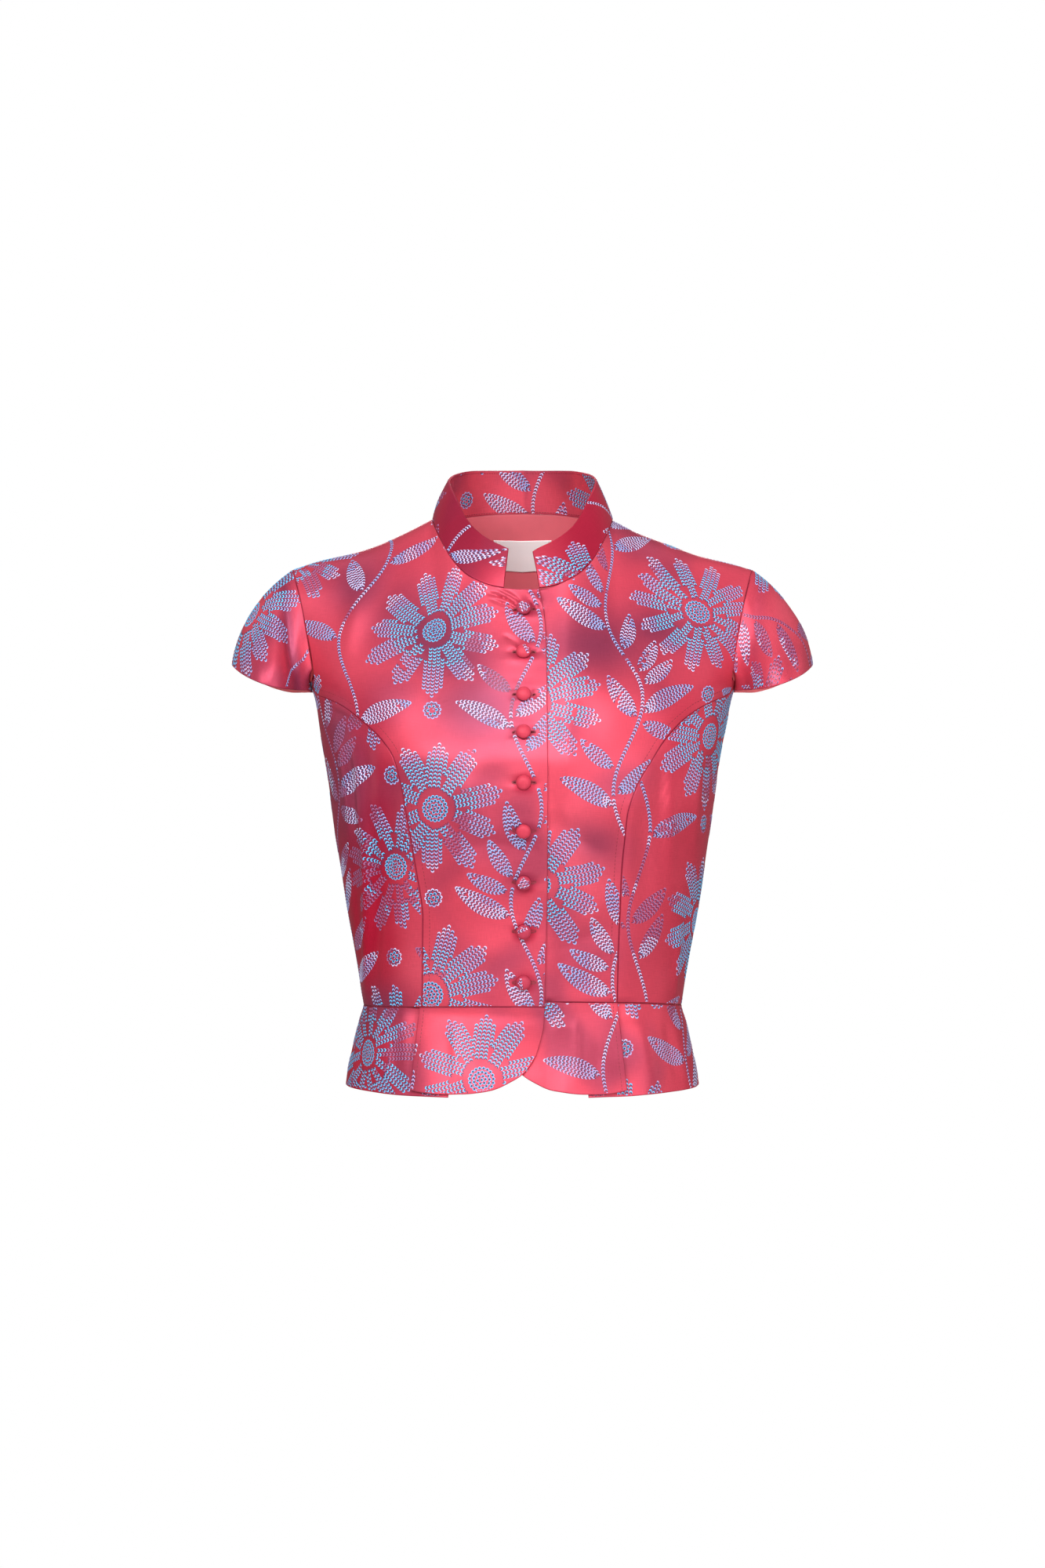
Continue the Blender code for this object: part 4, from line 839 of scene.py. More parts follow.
def cloth_grid(points, column=None):
    """Cloth places of a free grid: arc lengths along its rows and columns."""
    across = np.vstack([np.zeros(points.shape[1]), np.cumsum(np.linalg.norm(np.diff(points, axis=0), axis=2), axis=0)])
    if column is not None:
        across = across - across[column]
    up = np.hstack([np.zeros((points.shape[0], 1)), np.cumsum(np.linalg.norm(np.diff(points, axis=1), axis=2), axis=1)])
    return np.stack([across, up], -1)


def body_piece(name):
    """Outer points, normals and cloth places of a piece of the body."""
    side = side_of(name)
    if name.startswith("front"):
        points, normal, places = front_grid(side, 5)
    elif name.startswith("side_front"):
        points, normal, places = side_front_grid(side, 5)
    else:
        points, normal, places = back_grid(5)
    flat = cloth_body(places)
    points = points + normal * relief(points)[..., None]
    return points, outward(points, normal), flat


def peplum_piece(name):
    side = side_of(name)
    make = {"peplum_f": peplum_front_grid, "peplum_s": peplum_side_grid}.get(name[:8])
    points, normal, places = make(side, 5) if make else peplum_back_grid(5)
    flat = cloth_peplum(places)
    points = points + normal * peplum_relief(points)[..., None]
    return points, outward(points, normal), flat


def sleeve_piece(name):
    """A sleeve whose upper edge meets the armhole and whose underarm hangs close to the body's side."""
    side = side_of(name)
    points, plain, _ = sleeve_grid(side, 5)
    hole, share = armhole_loop(points.shape[0])
    hole = hole * (side, 1, 1)
    v = np.linspace(0, 1, points.shape[1])
    near = 1 - ramp((1 - np.cos(share * 2 * np.pi)) / 2, 0.0, 0.16)
    points = points + (hole - points[:, 0])[:, None] * (1 - v)[None, :, None] ** 2 * (1.25 + 1.3 * near)[:, None, None]
    # the body's side below the underarm
    wall = body(np.linspace(np.pi / 2 - 0.5, np.pi / 2 + 0.5, 60)[:, None], np.linspace(-0.05, underarm_high() + 0.02, 60)[None])
    wall = wall.reshape(-1, 3)
    for k in np.nonzero(near > 0.001)[0]:
        for m in range(1, len(v)):
            at = points[k, m]
            beside_it = wall[np.argmin((wall[:, 1] - at[1]) ** 2 + (wall[:, 2] - at[2]) ** 2), 0]
            spare = abs(at[0]) - (beside_it + 0.0006)
            points[k, m, 0] -= side * max(spare, 0) * near[k] * min(v[m] * 3, 1)
    normal = outward(points, plain, loop=True)
    points = points + normal * sleeve_relief(points)[..., None] * (1 - near)[:, None, None]
    normal = outward(points, normal, loop=True)
    closed = np.concatenate([points, points[:1]])
    return points, normal, cloth_grid(closed, len(points) // 2)


def collar_piece():
    points, normal, _ = collar_grid(6)
    turn = np.arctan2(points[..., 0], -points[..., 1])
    share = np.linspace(0, 1, points.shape[1])[None]
    soft = 0.0005 * np.sin(3.1 * turn + 0.6) * np.sin(np.pi * share) + 0.0004 * np.sin(9 * turn + 2.0) * (share - 0.5)
    points = points + normal * soft[..., None]
    return points, outward(points, normal), cloth_grid(points, len(points) // 2)


# ================================================================ shells
EDGE = (0.0, 0.10, 0.24, 0.42, 0.70)      # extra rows beside an edge, in grid steps


def rows(count):
    """Broken indices along one way of a grid, closer together beside its two ends."""
    return np.array([*EDGE, *range(1, count - 1), *(count - 1 - e for e in EDGE[::-1])])


def mesh_object(name, points, faces, mats, index=None, smooth=True, sharp=None):
    points = np.ascontiguousarray(points, np.float32)
    faces = np.ascontiguousarray(faces, np.int32)
    mesh = bpy.data.meshes.new(name)
    mesh.vertices.add(len(points))
    mesh.vertices.foreach_set("co", points.ravel())
    mesh.loops.add(faces.size)
    mesh.loops.foreach_set("vertex_index", faces.ravel())
    mesh.polygons.add(len(faces))
    mesh.polygons.foreach_set("loop_start", np.arange(len(faces), dtype=np.int32) * faces.shape[1])
    mesh.update(calc_edges=True)
    for mat in mats:
        mesh.materials.append(mat)
    if index is not None:
        mesh.polygons.foreach_set("material_index", np.ascontiguousarray(index, np.int32))
    mesh.validate()
    if smooth:
        mesh.shade_smooth()
        if sharp:
            mesh.set_sharp_from_angle(angle=math.radians(sharp))
    item = bpy.data.objects.new(name, mesh)
    bpy.context.scene.collection.objects.link(item)
    return item


def grid_faces(n, m, loop=False, first=0):
    i = np.arange(n if loop else n - 1)
    j = np.arange(m - 1)
    a, b = np.meshgrid(i, j, indexing="ij")
    a, b = a.ravel(), b.ravel()
    c = (a + 1) % n
    return np.stack([a * m + b, c * m + b, c * m + b + 1, a * m + b + 1], -1) + first


def add_attribute(item, name, values):
    values = np.ascontiguousarray(values, np.float32)
    kind = "FLOAT_VECTOR" if values.ndim == 2 else "FLOAT"
    made = item.data.attributes.new(name, kind, "POINT")
    made.data.foreach_set("vector" if values.ndim == 2 else "value", values.ravel())


def shell(name, piece, wall, mats, roll=0.0005, loop=False, seam_shade=(1, 1, 1, 1)):
    """A closed thin shell on a piece's outer grid. Its edges turn in by roll; seam_shade says how much painted shade
    darkens the seam gap at each edge (first and last row, first and last column)."""
    points, normal, flat = piece
    if loop:
        flat = flat[:-1]
    n, m = points.shape[:2]
    i = np.arange(n, dtype=float) if loop else rows(n)
    j = rows(m)
    ii, jj = np.meshgrid(i, j, indexing="ij")
    if loop:
        def pick(grid):
            whole = np.concatenate([grid, grid[:1]])
            return between(whole, ii, jj)
    else:
        def pick(grid):
            return between(grid, ii, jj)
    outer, up, cloth = pick(points), unit(pick(normal)), pick(flat)
    gap = np.full(outer.shape[:2], 1.0)       # distance from the nearest edge
    seam = np.zeros(outer.shape[:2])
    edges = []
    if not loop:
        run = np.cumsum(np.vstack([np.zeros(len(j)), np.linalg.norm(np.diff(outer, axis=0), axis=2)]), axis=0)
        edges += [(run, seam_shade[0]), (run[-1] - run, seam_shade[1])]
    run = np.cumsum(np.hstack([np.zeros((len(i), 1)), np.linalg.norm(np.diff(outer, axis=1), axis=2)]), axis=1)
    edges += [(run, seam_shade[2]), (run[:, -1:] - run, seam_shade[3])]
    for run, share in edges:
        gap = np.minimum(gap, run)
        # painted shade in the seam gap, fading out 1.1 mm from the edge
        seam = np.maximum(seam, share * np.clip(1 - run / 0.0011, 0, 1))
    drop = roll - np.sqrt(np.clip(roll**2 - np.clip(roll - gap, 0, None) ** 2, 0, None))
    front = outer - up * drop[..., None]
    back = outer - up * wall
    a, b = front.shape[:2]
    count = a * b
    out = grid_faces(a, b, loop)
    inn = grid_faces(a, b, loop, count)[:, ::-1]
    corner = front.reshape(-1, 3)[out]
    turned = np.cross(corner[:, 2] - corner[:, 0], corner[:, 3] - corner[:, 1])
    flip = (turned * up.reshape(-1, 3)[out[:, 0]]).sum() < 0
    ring = []
    if loop:
        k = np.arange(a)
        for edge, back_way in ((0, False), (b - 1, True)):
            p, q = k * b + edge, ((k + 1) % a) * b + edge
            quad = np.stack([p, p + count, q + count, q], -1)
            ring.append(quad[:, ::-1] if back_way else quad)
    else:
        k = np.arange(b - 1)
        for edge, back_way in ((0, True), (a - 1, False)):
            p, q = edge * b + k, edge * b + k + 1
            quad = np.stack([p, p + count, q + count, q], -1)
            ring.append(quad[:, ::-1] if back_way else quad)
        k = np.arange(a - 1)
        for edge, back_way in ((0, False), (b - 1, True)):
            p, q = k * b + edge, (k + 1) * b + edge
            quad = np.stack([p, p + count, q + count, q], -1)
            ring.append(quad[:, ::-1] if back_way else quad)
    ring = np.concatenate(ring)
    faces = np.concatenate([out, inn, ring])
    if flip:
        faces = faces[:, ::-1]
    index = np.concatenate([np.zeros(len(out)), np.ones(len(inn)), np.zeros(len(ring))])
    both = np.concatenate([front.reshape(-1, 3), back.reshape(-1, 3)])
    item = mesh_object(name, both, faces, mats, index, sharp=52)
    # the seam attribute carries this painted seam shade
    add_attribute(item, "seam", np.concatenate([seam.ravel(), seam.ravel()]))
    cloth = cloth.reshape(-1, 2)
    add_attribute(item, "cloth", np.hstack([np.concatenate([cloth, cloth]), np.zeros((2 * count, 1))]))
    return item


# ================================================================ small raised shapes of thread
def stroke(path, half, crown, edge, taper=0.0, width=3):
    """A ribbon along a path in the cloth plane: places across and along, heights, triangles."""
    path = np.asarray(path, float)
    way = unit(np.gradient(path, axis=0))
    side = np.stack([-way[:, 1], way[:, 0]], -1)
    share = np.linspace(-1, 1, len(path))
    reach = half * (1 - taper * share**2)
    lanes = np.linspace(-1, 1, width)
    at = path[:, None] + side[:, None] * (reach[:, None] * lanes[None])[..., None]
    high = edge + (crown - edge) * (1 - lanes**2)[None] * np.ones((len(path), 1))
    if width > 2:
        high[[0, -1]] = edge
    faces = grid_faces(len(path), width)
    tris = np.concatenate([faces[:, [0, 1, 2]], faces[:, [0, 2, 3]]])
    return at.reshape(-1, 2), high.ravel(), tris


def bow(reach, count, across=1.24, along=1.70, shift=0.0):
    angle = np.radians(np.linspace(-reach, reach, count))
    return np.stack([(along * np.cos(angle) - 1.05 + shift) * 1e-3, across * np.sin(angle) * 1e-3], -1)


MARK = stroke(bow(97, 5), 0.00060, 0.00025, -0.00003, 0.38)
MARK_DARK = stroke(bow(88, 4, across=1.22, shift=-1.00), 0.00042, 0.00007, 0.00007, 0.30, width=2)
MARK_FAR = stroke(bow(97, 4), 0.00060, 0.00025, -0.00003, 0.38)
MARK_FAR_DARK = stroke(bow(88, 3, across=1.22, shift=-1.00), 0.00042, 0.00007, 0.00007, 0.30, width=2)
LOOP = stroke(bow(158, 7, across=1.15, along=1.15, shift=1.05), 0.00042, 0.00022, -0.00003, 0.15)
LOOP_DARK = stroke([(-0.0008, 0.0), (0.0008, 0.0)], 0.00080, 0.00006, 0.00006, width=2)
STITCH = stroke([(-0.00115, 0), (-0.0006, 0), (0.0006, 0), (0.00115, 0)], 0.00030, 0.00016, -0.00004, 0.5)
WHIP = stroke([(-0.00095, 0), (0.0, 0), (0.00095, 0)], 0.00030, 0.00030, -0.00003, 0.35)
SLIT = stroke([(-0.0088, 0), (-0.0082, 0), (-0.004, 0), (0, 0), (0.004, 0), (0.0082, 0), (0.0088, 0)], 0.00075, 0.00018, 0.00005, 0.10, width=3)


def settle(flat, want, i, j, turns=6):
    """Broken indices where a cloth grid reaches these cloth places, from a first guess."""
    e = 0.02
    for _ in range(turns):
        here = between(flat, i, j)
        du = (between(flat, i + e, j) - here) / e
        dv = (between(flat, i, j + e) - here) / e
        miss = want - here
        det = du[..., 0] * dv[..., 1] - du[..., 1] * dv[..., 0]
        det = np.where(np.abs(det) < 1e-12, 1e-12, det)
        i = i + np.clip((miss[..., 0] * dv[..., 1] - miss[..., 1] * dv[..., 0]) / det, -3, 3)
        j = j + np.clip((du[..., 0] * miss[..., 1] - du[..., 1] * miss[..., 0]) / det, -3, 3)
    return i, j, du, dv


def closed_piece(piece):
    points, normal, flat = piece
    if len(flat) > len(points):
        points, normal = np.concatenate([points, points[:1]]), np.concatenate([normal, normal[:1]])
    return points, normal, flat


def tree_of(piece):
    flat = closed_piece(piece)[2]
    tree = KDTree(flat.shape[0] * flat.shape[1])
    for k, (a, b) in enumerate(flat.reshape(-1, 2).tolist()):
        tree.insert((a, b, 0.0), k)
    tree.balance()
    return tree


def lay(piece, tree, centres, angles, shape, size=1.0, margin=0.0006, lift=0.0):
    """Copies of a thread shape laid on a piece at these cloth places. Gives points, triangles and the copy each triangle is of."""
    points, normal, flat = closed_piece(piece)
    n, m = flat.shape[:2]
    at, high, tris = shape
    centres, angles = np.asarray(centres, float), np.asarray(angles, float)
    if not len(centres):
        return np.zeros((0, 3)), np.zeros((0, 3), int), np.zeros(0, int)
    low, top = flat.reshape(-1, 2).min(0) - 0.004, flat.reshape(-1, 2).max(0) + 0.004
    keep = np.nonzero(((centres > low) & (centres < top)).all(1))[0]
    centres, angles = centres[keep], angles[keep]
    guess = np.array([tree.find((a, b, 0.0))[1] for a, b in centres.tolist()], int).reshape(-1)
    i, j, _, _ = settle(flat, centres, (guess // m).astype(float), (guess % m).astype(float))
    c, s = np.cos(angles)[:, None], np.sin(angles)[:, None]
    u, v = at[:, 0] * size, at[:, 1] * size
    want = np.stack([centres[:, :1] + u * c - v * s, centres[:, 1:] + u * s + v * c], -1)
    i = np.repeat(i[:, None], len(at), 1)
    j = np.repeat(j[:, None], len(at), 1)
    i, j, du, dv = settle(flat, want, i, j, 4)
    mi, mj = margin / np.linalg.norm(du, axis=-1), margin / np.linalg.norm(dv, axis=-1)
    inside = (i > mi) & (i < n - 1 - mi) & (j > mj) & (j < m - 1 - mj)
    miss = np.linalg.norm(between(flat, i, j) - want, axis=-1)
    inside &= miss < 1e-5
    spot = between(points, np.clip(i, 0, n - 1), np.clip(j, 0, m - 1))
    up = unit(between(normal, np.clip(i, 0, n - 1), np.clip(j, 0, m - 1)))
    spot = spot + up * (high + lift)[None, :, None]
    whole = inside[:, tris].all(-1)                     # (copies, triangles)
    copy, tri = np.nonzero(whole)
    faces = tris[tri] + (copy * len(at))[:, None]
    used, faces = np.unique(faces, return_inverse=True)
    faces = faces.reshape(-1, 3)
    out = spot.reshape(-1, 3)[used]
    ups = up.reshape(-1, 3)[used]
    if len(faces):
        a, b, d = out[faces[:, 0]], out[faces[:, 1]], out[faces[:, 2]]
        turned = (np.cross(b - a, d - a) * ups[faces[:, 0]]).sum(-1) < 0
        faces[turned] = faces[turned][:, ::-1]
    return out, faces, keep[copy]


# ================================================================ one repeat of the woven flowers
TILE = 0.300
ROW, PITCH = 0.0035, 0.0030
# place of each flower, reach, petals, rows across a petal, turn
FLOWERS = [
    (0.073, 0.078, 0.0610, 11, 5, 0.20), (0.226, 0.010, 0.0560, 13, 4, 0.50),
    (0.078, 0.228, 0.0560, 10, 5, 0.90), (0.222, 0.160, 0.0600, 13, 4, 0.05)]
# stem, height of the leaf's foot, side, degrees above level, length, half width, bend
LEAVES = [
    (0, 0.140, -1, 26, 0.051, 0.0086, 0.25), (0, 0.290, -1, 30, 0.050, 0.0082, -0.20),
    (0, 0.066, 1, 30, 0.052, 0.0088, -0.25), (0, 0.216, 1, 27, 0.050, 0.0084, 0.20),
    (1, 0.146, 1, 20, 0.050, 0.0084, 0.22), (1, 0.296, 1, 22, 0.051, 0.0086, -0.22),
    (1, 0.072, -1, 20, 0.049, 0.0084, -0.20), (1, 0.222, -1, 23, 0.051, 0.0086, 0.25)]
BUDS = [(0.0760, 0.1560), (0.2240, 0.0835), (0.0755, 0.0070), (0.2235, 0.2370)]


def stem_x(stem, y):
    """Where a stem stands at this height, and how fast it moves sideways."""
    a = 2 * np.pi * (y - 0.04) / 0.15
    base, sway = ((0.150, 0.012), (0.0, -0.010))[stem]
    return base + sway * np.sin(a), sway * 2 * np.pi / 0.15 * np.cos(a)


def paced(path, ways, gap=PITCH, first=0.5):
    """Places and directions at even steps along a path."""
    run = np.append(0, np.cumsum(np.linalg.norm(np.diff(path, axis=0), axis=1)))
    at = np.arange(gap * first, run[-1], gap)
    turn = np.unwrap(ways)
    return np.stack([np.interp(at, run, path[:, 0]), np.interp(at, run, path[:, 1]), np.interp(at, run, turn)], -1)


def leaf_marks(x, y, way, length, half, bend):
    """Rows that run the leaf's length and close up toward its ends."""
    s = np.linspace(0, 1, 160)
    a = way + bend * (s - 0.35) * 1.6
    spine = np.stack([x + np.cumsum(np.cos(a)) * length / 160, y + np.cumsum(np.sin(a)) * length / 160], -1)
    wide = half * np.sin(np.pi * s**0.82) ** 0.72 * (1 - 0.10 * s) - ROW / 2
    side = np.stack([-np.sin(a), np.cos(a)], -1)
    tip = np.nonzero(wide > 0.0001)[0][-1]
    out = [(spine[tip, 0], spine[tip, 1], a[tip], 2, 0.0)]
    count = max(int(round(2 * half / ROW)), 2)
    for lane in sorted(range(count), key=lambda k: -abs(k - (count - 1) / 2)):
        share = 2 * lane / (count - 1) - 1
        run = np.nonzero(wide > 0.0001)[0]
        run = np.arange(run[0], run[-1] + 1)
        path = spine[run] + side[run] * (np.maximum(wide[run], 0) * share)[:, None]
        step = np.gradient(path, axis=0)
        for px, py, pa in paced(path, np.arctan2(step[:, 1], step[:, 0]), first=0.2 + 0.5 * (lane % 2)):
            out.append((px, py, pa, 2, 1 - abs(share)))
    return out


def flower_marks(cx, cy, reach, petals, lanes, start):
    """Loops in the heart, then petals of rows that follow the petal's rounded edge."""
    out = [(cx, cy, 0.3, 1, 0.0)]
    core = 0.0120 if lanes > 4 else 0.0105
    for ring in np.arange(0.0031, core, 0.0031):
        count = int(round(2 * np.pi * ring / 0.0031))
        for k in range(count):
            a = 2 * np.pi * k / count + ring * 400
            out.append((cx + ring * np.cos(a), cy + ring * np.sin(a), a, 1, 0.0))
    begin = core + 0.0036
    half = lanes * ROW / 2
    slope = 1.12 * np.tan(np.pi / petals)
    for p in range(petals):
        a = start + 2 * np.pi * p / petals + 0.05 * np.sin(5.1 * p + start)
        end = reach * (1 - 0.09 * (0.5 + 0.5 * np.sin(2.7 * p + start * 5)))
        r = np.linspace(begin, end, 200)
        cap = np.sqrt(np.clip(1 - (np.clip(r - (end - half * 1.15), 0, None) / (half * 1.15)) ** 2, 0, 1))
        wide = np.minimum(r * slope - 0.0003, half) * cap
        bend = 0.0016 * np.sin((r - begin) * 60 + 1.7 * p)
        for lane in sorted(range(lanes), key=lambda k: -abs(k - (lanes - 1) / 2)):
            off = (2 * lane / (lanes - 1) - 1) * (half - ROW / 2)
            run = np.nonzero(np.abs(off) <= np.maximum(wide - ROW * 0.42, 0.0001))[0]
            if len(run) < 6:
                continue
            run = np.arange(run[0], run[-1] + 1)
            across = off + bend[run]
            path = np.stack([cx + r[run] * np.cos(a) - across * np.sin(a), cy + r[run] * np.sin(a) + across * np.cos(a)], -1)
            step = np.gradient(path, axis=0)
            # the rows are set out from the petal's rounded end, so that the end fills evenly
            back = paced(path[::-1], np.arctan2(step[:, 1], step[:, 0])[::-1], first=0.15 + 0.5 * (lane % 2))
            for px, py, pa in back:
                out.append((px, py, pa, 0, math.hypot(px - cx, py - cy) / reach))
    return out


def bud_marks(x, y, size=2):
    out = [(x, y, 1.0, 1, 0.0)]
    for ring in range(1, size + 1):
        count = 6 * ring
        for k in range(count):
            a = k * 2 * np.pi / count + x * 30 + ring
            out.append((x + 0.0033 * ring * np.cos(a), y + 0.0033 * ring * np.sin(a), a, 4 if ring > 1 else 1, ring / size))
    return out


def repeat_marks():
    """Marks of one repeat: across, up, direction, kind (petal, loop, leaf, stem, bud), how far out it lies in its motif."""
    marks, cells = [], {}
    span = int(TILE / 0.003)     # cells this wide hold the marks already placed

    def free(x, y, gap):
        cx, cy = int(x / TILE * span), int(y / TILE * span)
        reach = 1 if gap <= 0.003 else 2
        for a in range(-reach, reach + 1):
            for b in range(-reach, reach + 1):
                for px, py in cells.get(((cx + a) % span, (cy + b) % span), ()):
                    dx, dy = abs(px - x), abs(py - y)
                    dx, dy = min(dx, TILE - dx), min(dy, TILE - dy)
                    if dx * dx + dy * dy < gap * gap:
                        return False
        return True

    def put(shape, gap=0.0025):
        for x, y, way, kind, share in shape:
            x, y = x % TILE, y % TILE
            if free(x, y, gap):
                cells.setdefault((int(x / TILE * span) % span, int(y / TILE * span) % span), []).append((x, y))
                marks.append((x, y, way, kind, share))

    def fits(shape, gap):
        return all(free(x % TILE, y % TILE, gap) for x, y, *_ in shape)

    for flower in FLOWERS:
        put(flower_marks(*flower), 0.0025)
    for stem in (0, 1):
        y = np.linspace(0, TILE, 400)
        x, slope = stem_x(stem, y)
        put([(px, py, pa, 3, 0.5) for px, py, pa in paced(np.stack([x, y], -1), np.arctan2(1.0, slope), 0.0029)])
    for stem, y, side, rise, length, half, bend in LEAVES:
        way = math.radians(rise) if side > 0 else math.pi - math.radians(rise)
        x = stem_x(stem, y)[0]
        put(leaf_marks(x + 0.003 * math.cos(way), y + 0.003 * math.sin(way), way, length, half, bend * side), 0.00205)
    for x, y in BUDS:
        put(bud_marks(x, y))
    left = 16
    for length, half in ((0.044, 0.0080), (0.036, 0.0070), (0.029, 0.0060)):
        for stem in (0, 1):
            for k in range(30):
                y = (k + 0.5 * stem) * TILE / 30
                for side in (1, -1):
                    for rise in (38, 55, 68, 22, -20):
                        way = math.radians(rise) if side > 0 else math.pi - math.radians(rise)
                        x = stem_x(stem, y)[0]
                        shape = leaf_marks(x + 0.0042 * math.cos(way), y + 0.0042 * math.sin(way), way, length, half, 0.25 * side)
                        if left and fits(shape, 0.0044):
                            put(shape, 0.00205)
                            left -= 1
                            break
    return np.array(marks)


REPEAT = repeat_marks()
print("marks in one repeat", len(REPEAT), "density per sq m", int(len(REPEAT) / TILE**2))


def wave(x, y, seed):
    """A soft uneven field from about -1 to 1."""
    out = 0.0
    for k, (f, w) in enumerate(((19, 0.5), (37, 0.32), (71, 0.22), (129, 0.16))):
        a = seed * 1.7 + k * 2.1
        out = out + w * np.sin(f * (x * np.cos(a) + y * np.sin(a)) + seed * 3 + k + 1.4 * np.sin(f * 0.7 * (y * np.cos(a) - x * np.sin(a)) + seed))
    return out


def scatter(flat, offset):
    """Marks of the repeat over a piece's cloth, cut from the bolt at this offset."""
    low, top = flat.reshape(-1, 2).min(0), flat.reshape(-1, 2).max(0)
    out = []
    first = np.floor((low + offset) / TILE).astype(int)
    last = np.ceil((top + offset) / TILE).astype(int)
    for a in range(first[0], last[0] + 1):
        for b in range(first[1], last[1] + 1):
            one = REPEAT.copy()
            one[:, 0] += a * TILE - offset[0]
            one[:, 1] += b * TILE - offset[1]
            out.append(one)
    out = np.concatenate(out)
    keep = ((out[:, :2] > low - 0.003) & (out[:, :2] < top + 0.003)).all(1)
    return out[keep]


PALE, LILAC, BLUE, DUSK, MUTED, DARK, WINE = range(7)


def thread_tone(marks, mute, seed):
    """Which thread each mark is woven in."""
    x, y, kind, share = marks[:, 0], marks[:, 1], marks[:, 3], marks[:, 4]
    soft = wave(x, y, seed)
    fine = wave(x * 6, y * 6, seed + 2)
    tone = np.full(len(marks), PALE)
    tone[soft > 0.22] = LILAC
    tone[soft < -0.30] = DUSK
    heart = (kind == 0) & (share < 0.70 + 0.22 * soft)
    tone[heart] = BLUE
    rim = (kind == 0) & (share >= 0.70 + 0.22 * soft) & (share < 0.82 + 0.22 * soft)
    tone[rim] = DUSK
    tone[kind == 1] = BLUE
    # the muted, darker thread falls in soft random patches; where mute is larger, on the side panels and sleeves, its
    # extra share is painted shade
    quiet = wave(x * 1.3, y * 1.3, seed + 5) * 0.8 + 0.35 * fine
    tone[(quiet > 1.0 - mute * 1.35) & (kind != 1)] = MUTED
    return tone


def marks_on(name, piece, offset, mats, mute=0.25, seed=1.0, clear=None, far=False):
    """All marks of a piece as one mesh."""
    tree = tree_of(piece)
    flat = closed_piece(piece)[2]
    marks = scatter(flat, np.asarray(offset))
    if clear is not None:
        marks = marks[clear(marks[:, 0], marks[:, 1])]
    tone = thread_tone(marks, mute, seed)
    loops = marks[:, 3] == 1
    parts = []
    for chosen, shape, dark in ((~loops, MARK_FAR if far else MARK, False), (loops, LOOP, False),
                                (~loops, MARK_FAR_DARK if far else MARK_DARK, True), (loops, LOOP_DARK, True)):
        some, which = marks[chosen], tone[chosen]
        out, faces, copy = lay(piece, tree, some[:, :2], some[:, 2], shape)
        colour = which[copy] if len(copy) else np.zeros(0, int)
        if dark:
            colour = np.where(colour == MUTED, WINE, DARK)
        parts.append((out, faces, colour))
    return join(name, parts, mats)


def join(name, parts, mats):
    """One mesh object of several (points, triangles, material numbers)."""
    points, faces, index, base = [], [], [], 0
    for out, tri, colour in parts:
        points.append(out)
        faces.append(tri + base)
        index.append(colour)
        base += len(out)
    return mesh_object(name, np.concatenate(points), np.concatenate(faces), mats, np.concatenate(index))


def line_of(path, pitch, shift=0.0):
    """Even places and directions along a path of cloth places."""
    run = np.append(0, np.cumsum(np.linalg.norm(np.diff(path, axis=0), axis=1)))
    at = np.arange(pitch * (0.5 + shift), run[-1], pitch)
    spots = np.stack([np.interp(at, run, path[:, k]) for k in (0, 1)], -1)
    ahead = np.stack([np.interp(at + 0.0008, run, path[:, k]) - np.interp(at - 0.0008, run, path[:, k]) for k in (0, 1)], -1)
    return spots, np.arctan2(ahead[:, 1], ahead[:, 0])


def beside(edge, by):
    """A cloth path moved to its left by this much."""
    way = unit(np.gradient(edge, axis=0))
    return edge + np.stack([-way[:, 1], way[:, 0]], -1) * by


# ================================================================ colour of the ground, with painted shade, sheen and highlight
# Places of the painted purple shade and shot-silk sheen and of the paler painted highlight, as the front view has them:
# across, height, half width, half height, turn in degrees, strength
PLUM_SHADE_SHEEN = np.array([
    (-0.1336, -0.0553, 0.0278, 0.0278, 0, 0.80),
    (-0.0657, -0.1046, 0.0680, 0.0310, -32, 0.95),
    (-0.0320, -0.1560, 0.0440, 0.0360, 0, 0.90),
    (0.0577, -0.1046, 0.0494, 0.0247, 0, 0.85),
    (0.1070, -0.0923, 0.0370, 0.0185, 0, 0.80),
    (0.0318, -0.1725, 0.0185, 0.0154, 0, 0.60),
    (-0.1367, -0.2157, 0.0216, 0.0494, 0, 0.80),
    (-0.1459, -0.1725, 0.0154, 0.0247, 0, 0.90),
    (-0.0133, -0.2681, 0.0278, 0.0154, 0, 0.45),
    (0.0577, -0.2620, 0.0240, 0.0170, -20, 0.70),
    (-0.1000, -0.1480, 0.0280, 0.0220, 20, 0.60),
    (0.0750, -0.2150, 0.0260, 0.0160, 15, 0.55),
    (0.0300, -0.3200, 0.0180, 0.0240, 0, 0.55),
    (0.0484, -0.3484, 0.0309, 0.0247, 0, 0.50),
    (-0.1089, -0.3946, 0.0247, 0.0185, 0, 0.80),
    (-0.0904, -0.4440, 0.0185, 0.0247, 0, 0.60)])
PAINTED_HIGHLIGHTS = np.array([
    (-0.0287, -0.2095, 0.0370, 0.0247, 0, 0.30),
    (0.0453, -0.2774, 0.0247, 0.0370, 0, 0.80),
    (-0.0657, -0.3638, 0.0278, 0.0185, 0, 0.60),
    (-0.0410, -0.4193, 0.0216, 0.0216, 0, 0.10),
    (0.0423, -0.0306, 0.0216, 0.0185, 0, 0.60),
    (-0.1860, -0.0861, 0.0154, 0.0309, 0, 0.40),
    (0.1811, -0.0861, 0.0154, 0.0309, 0, 0.40)])
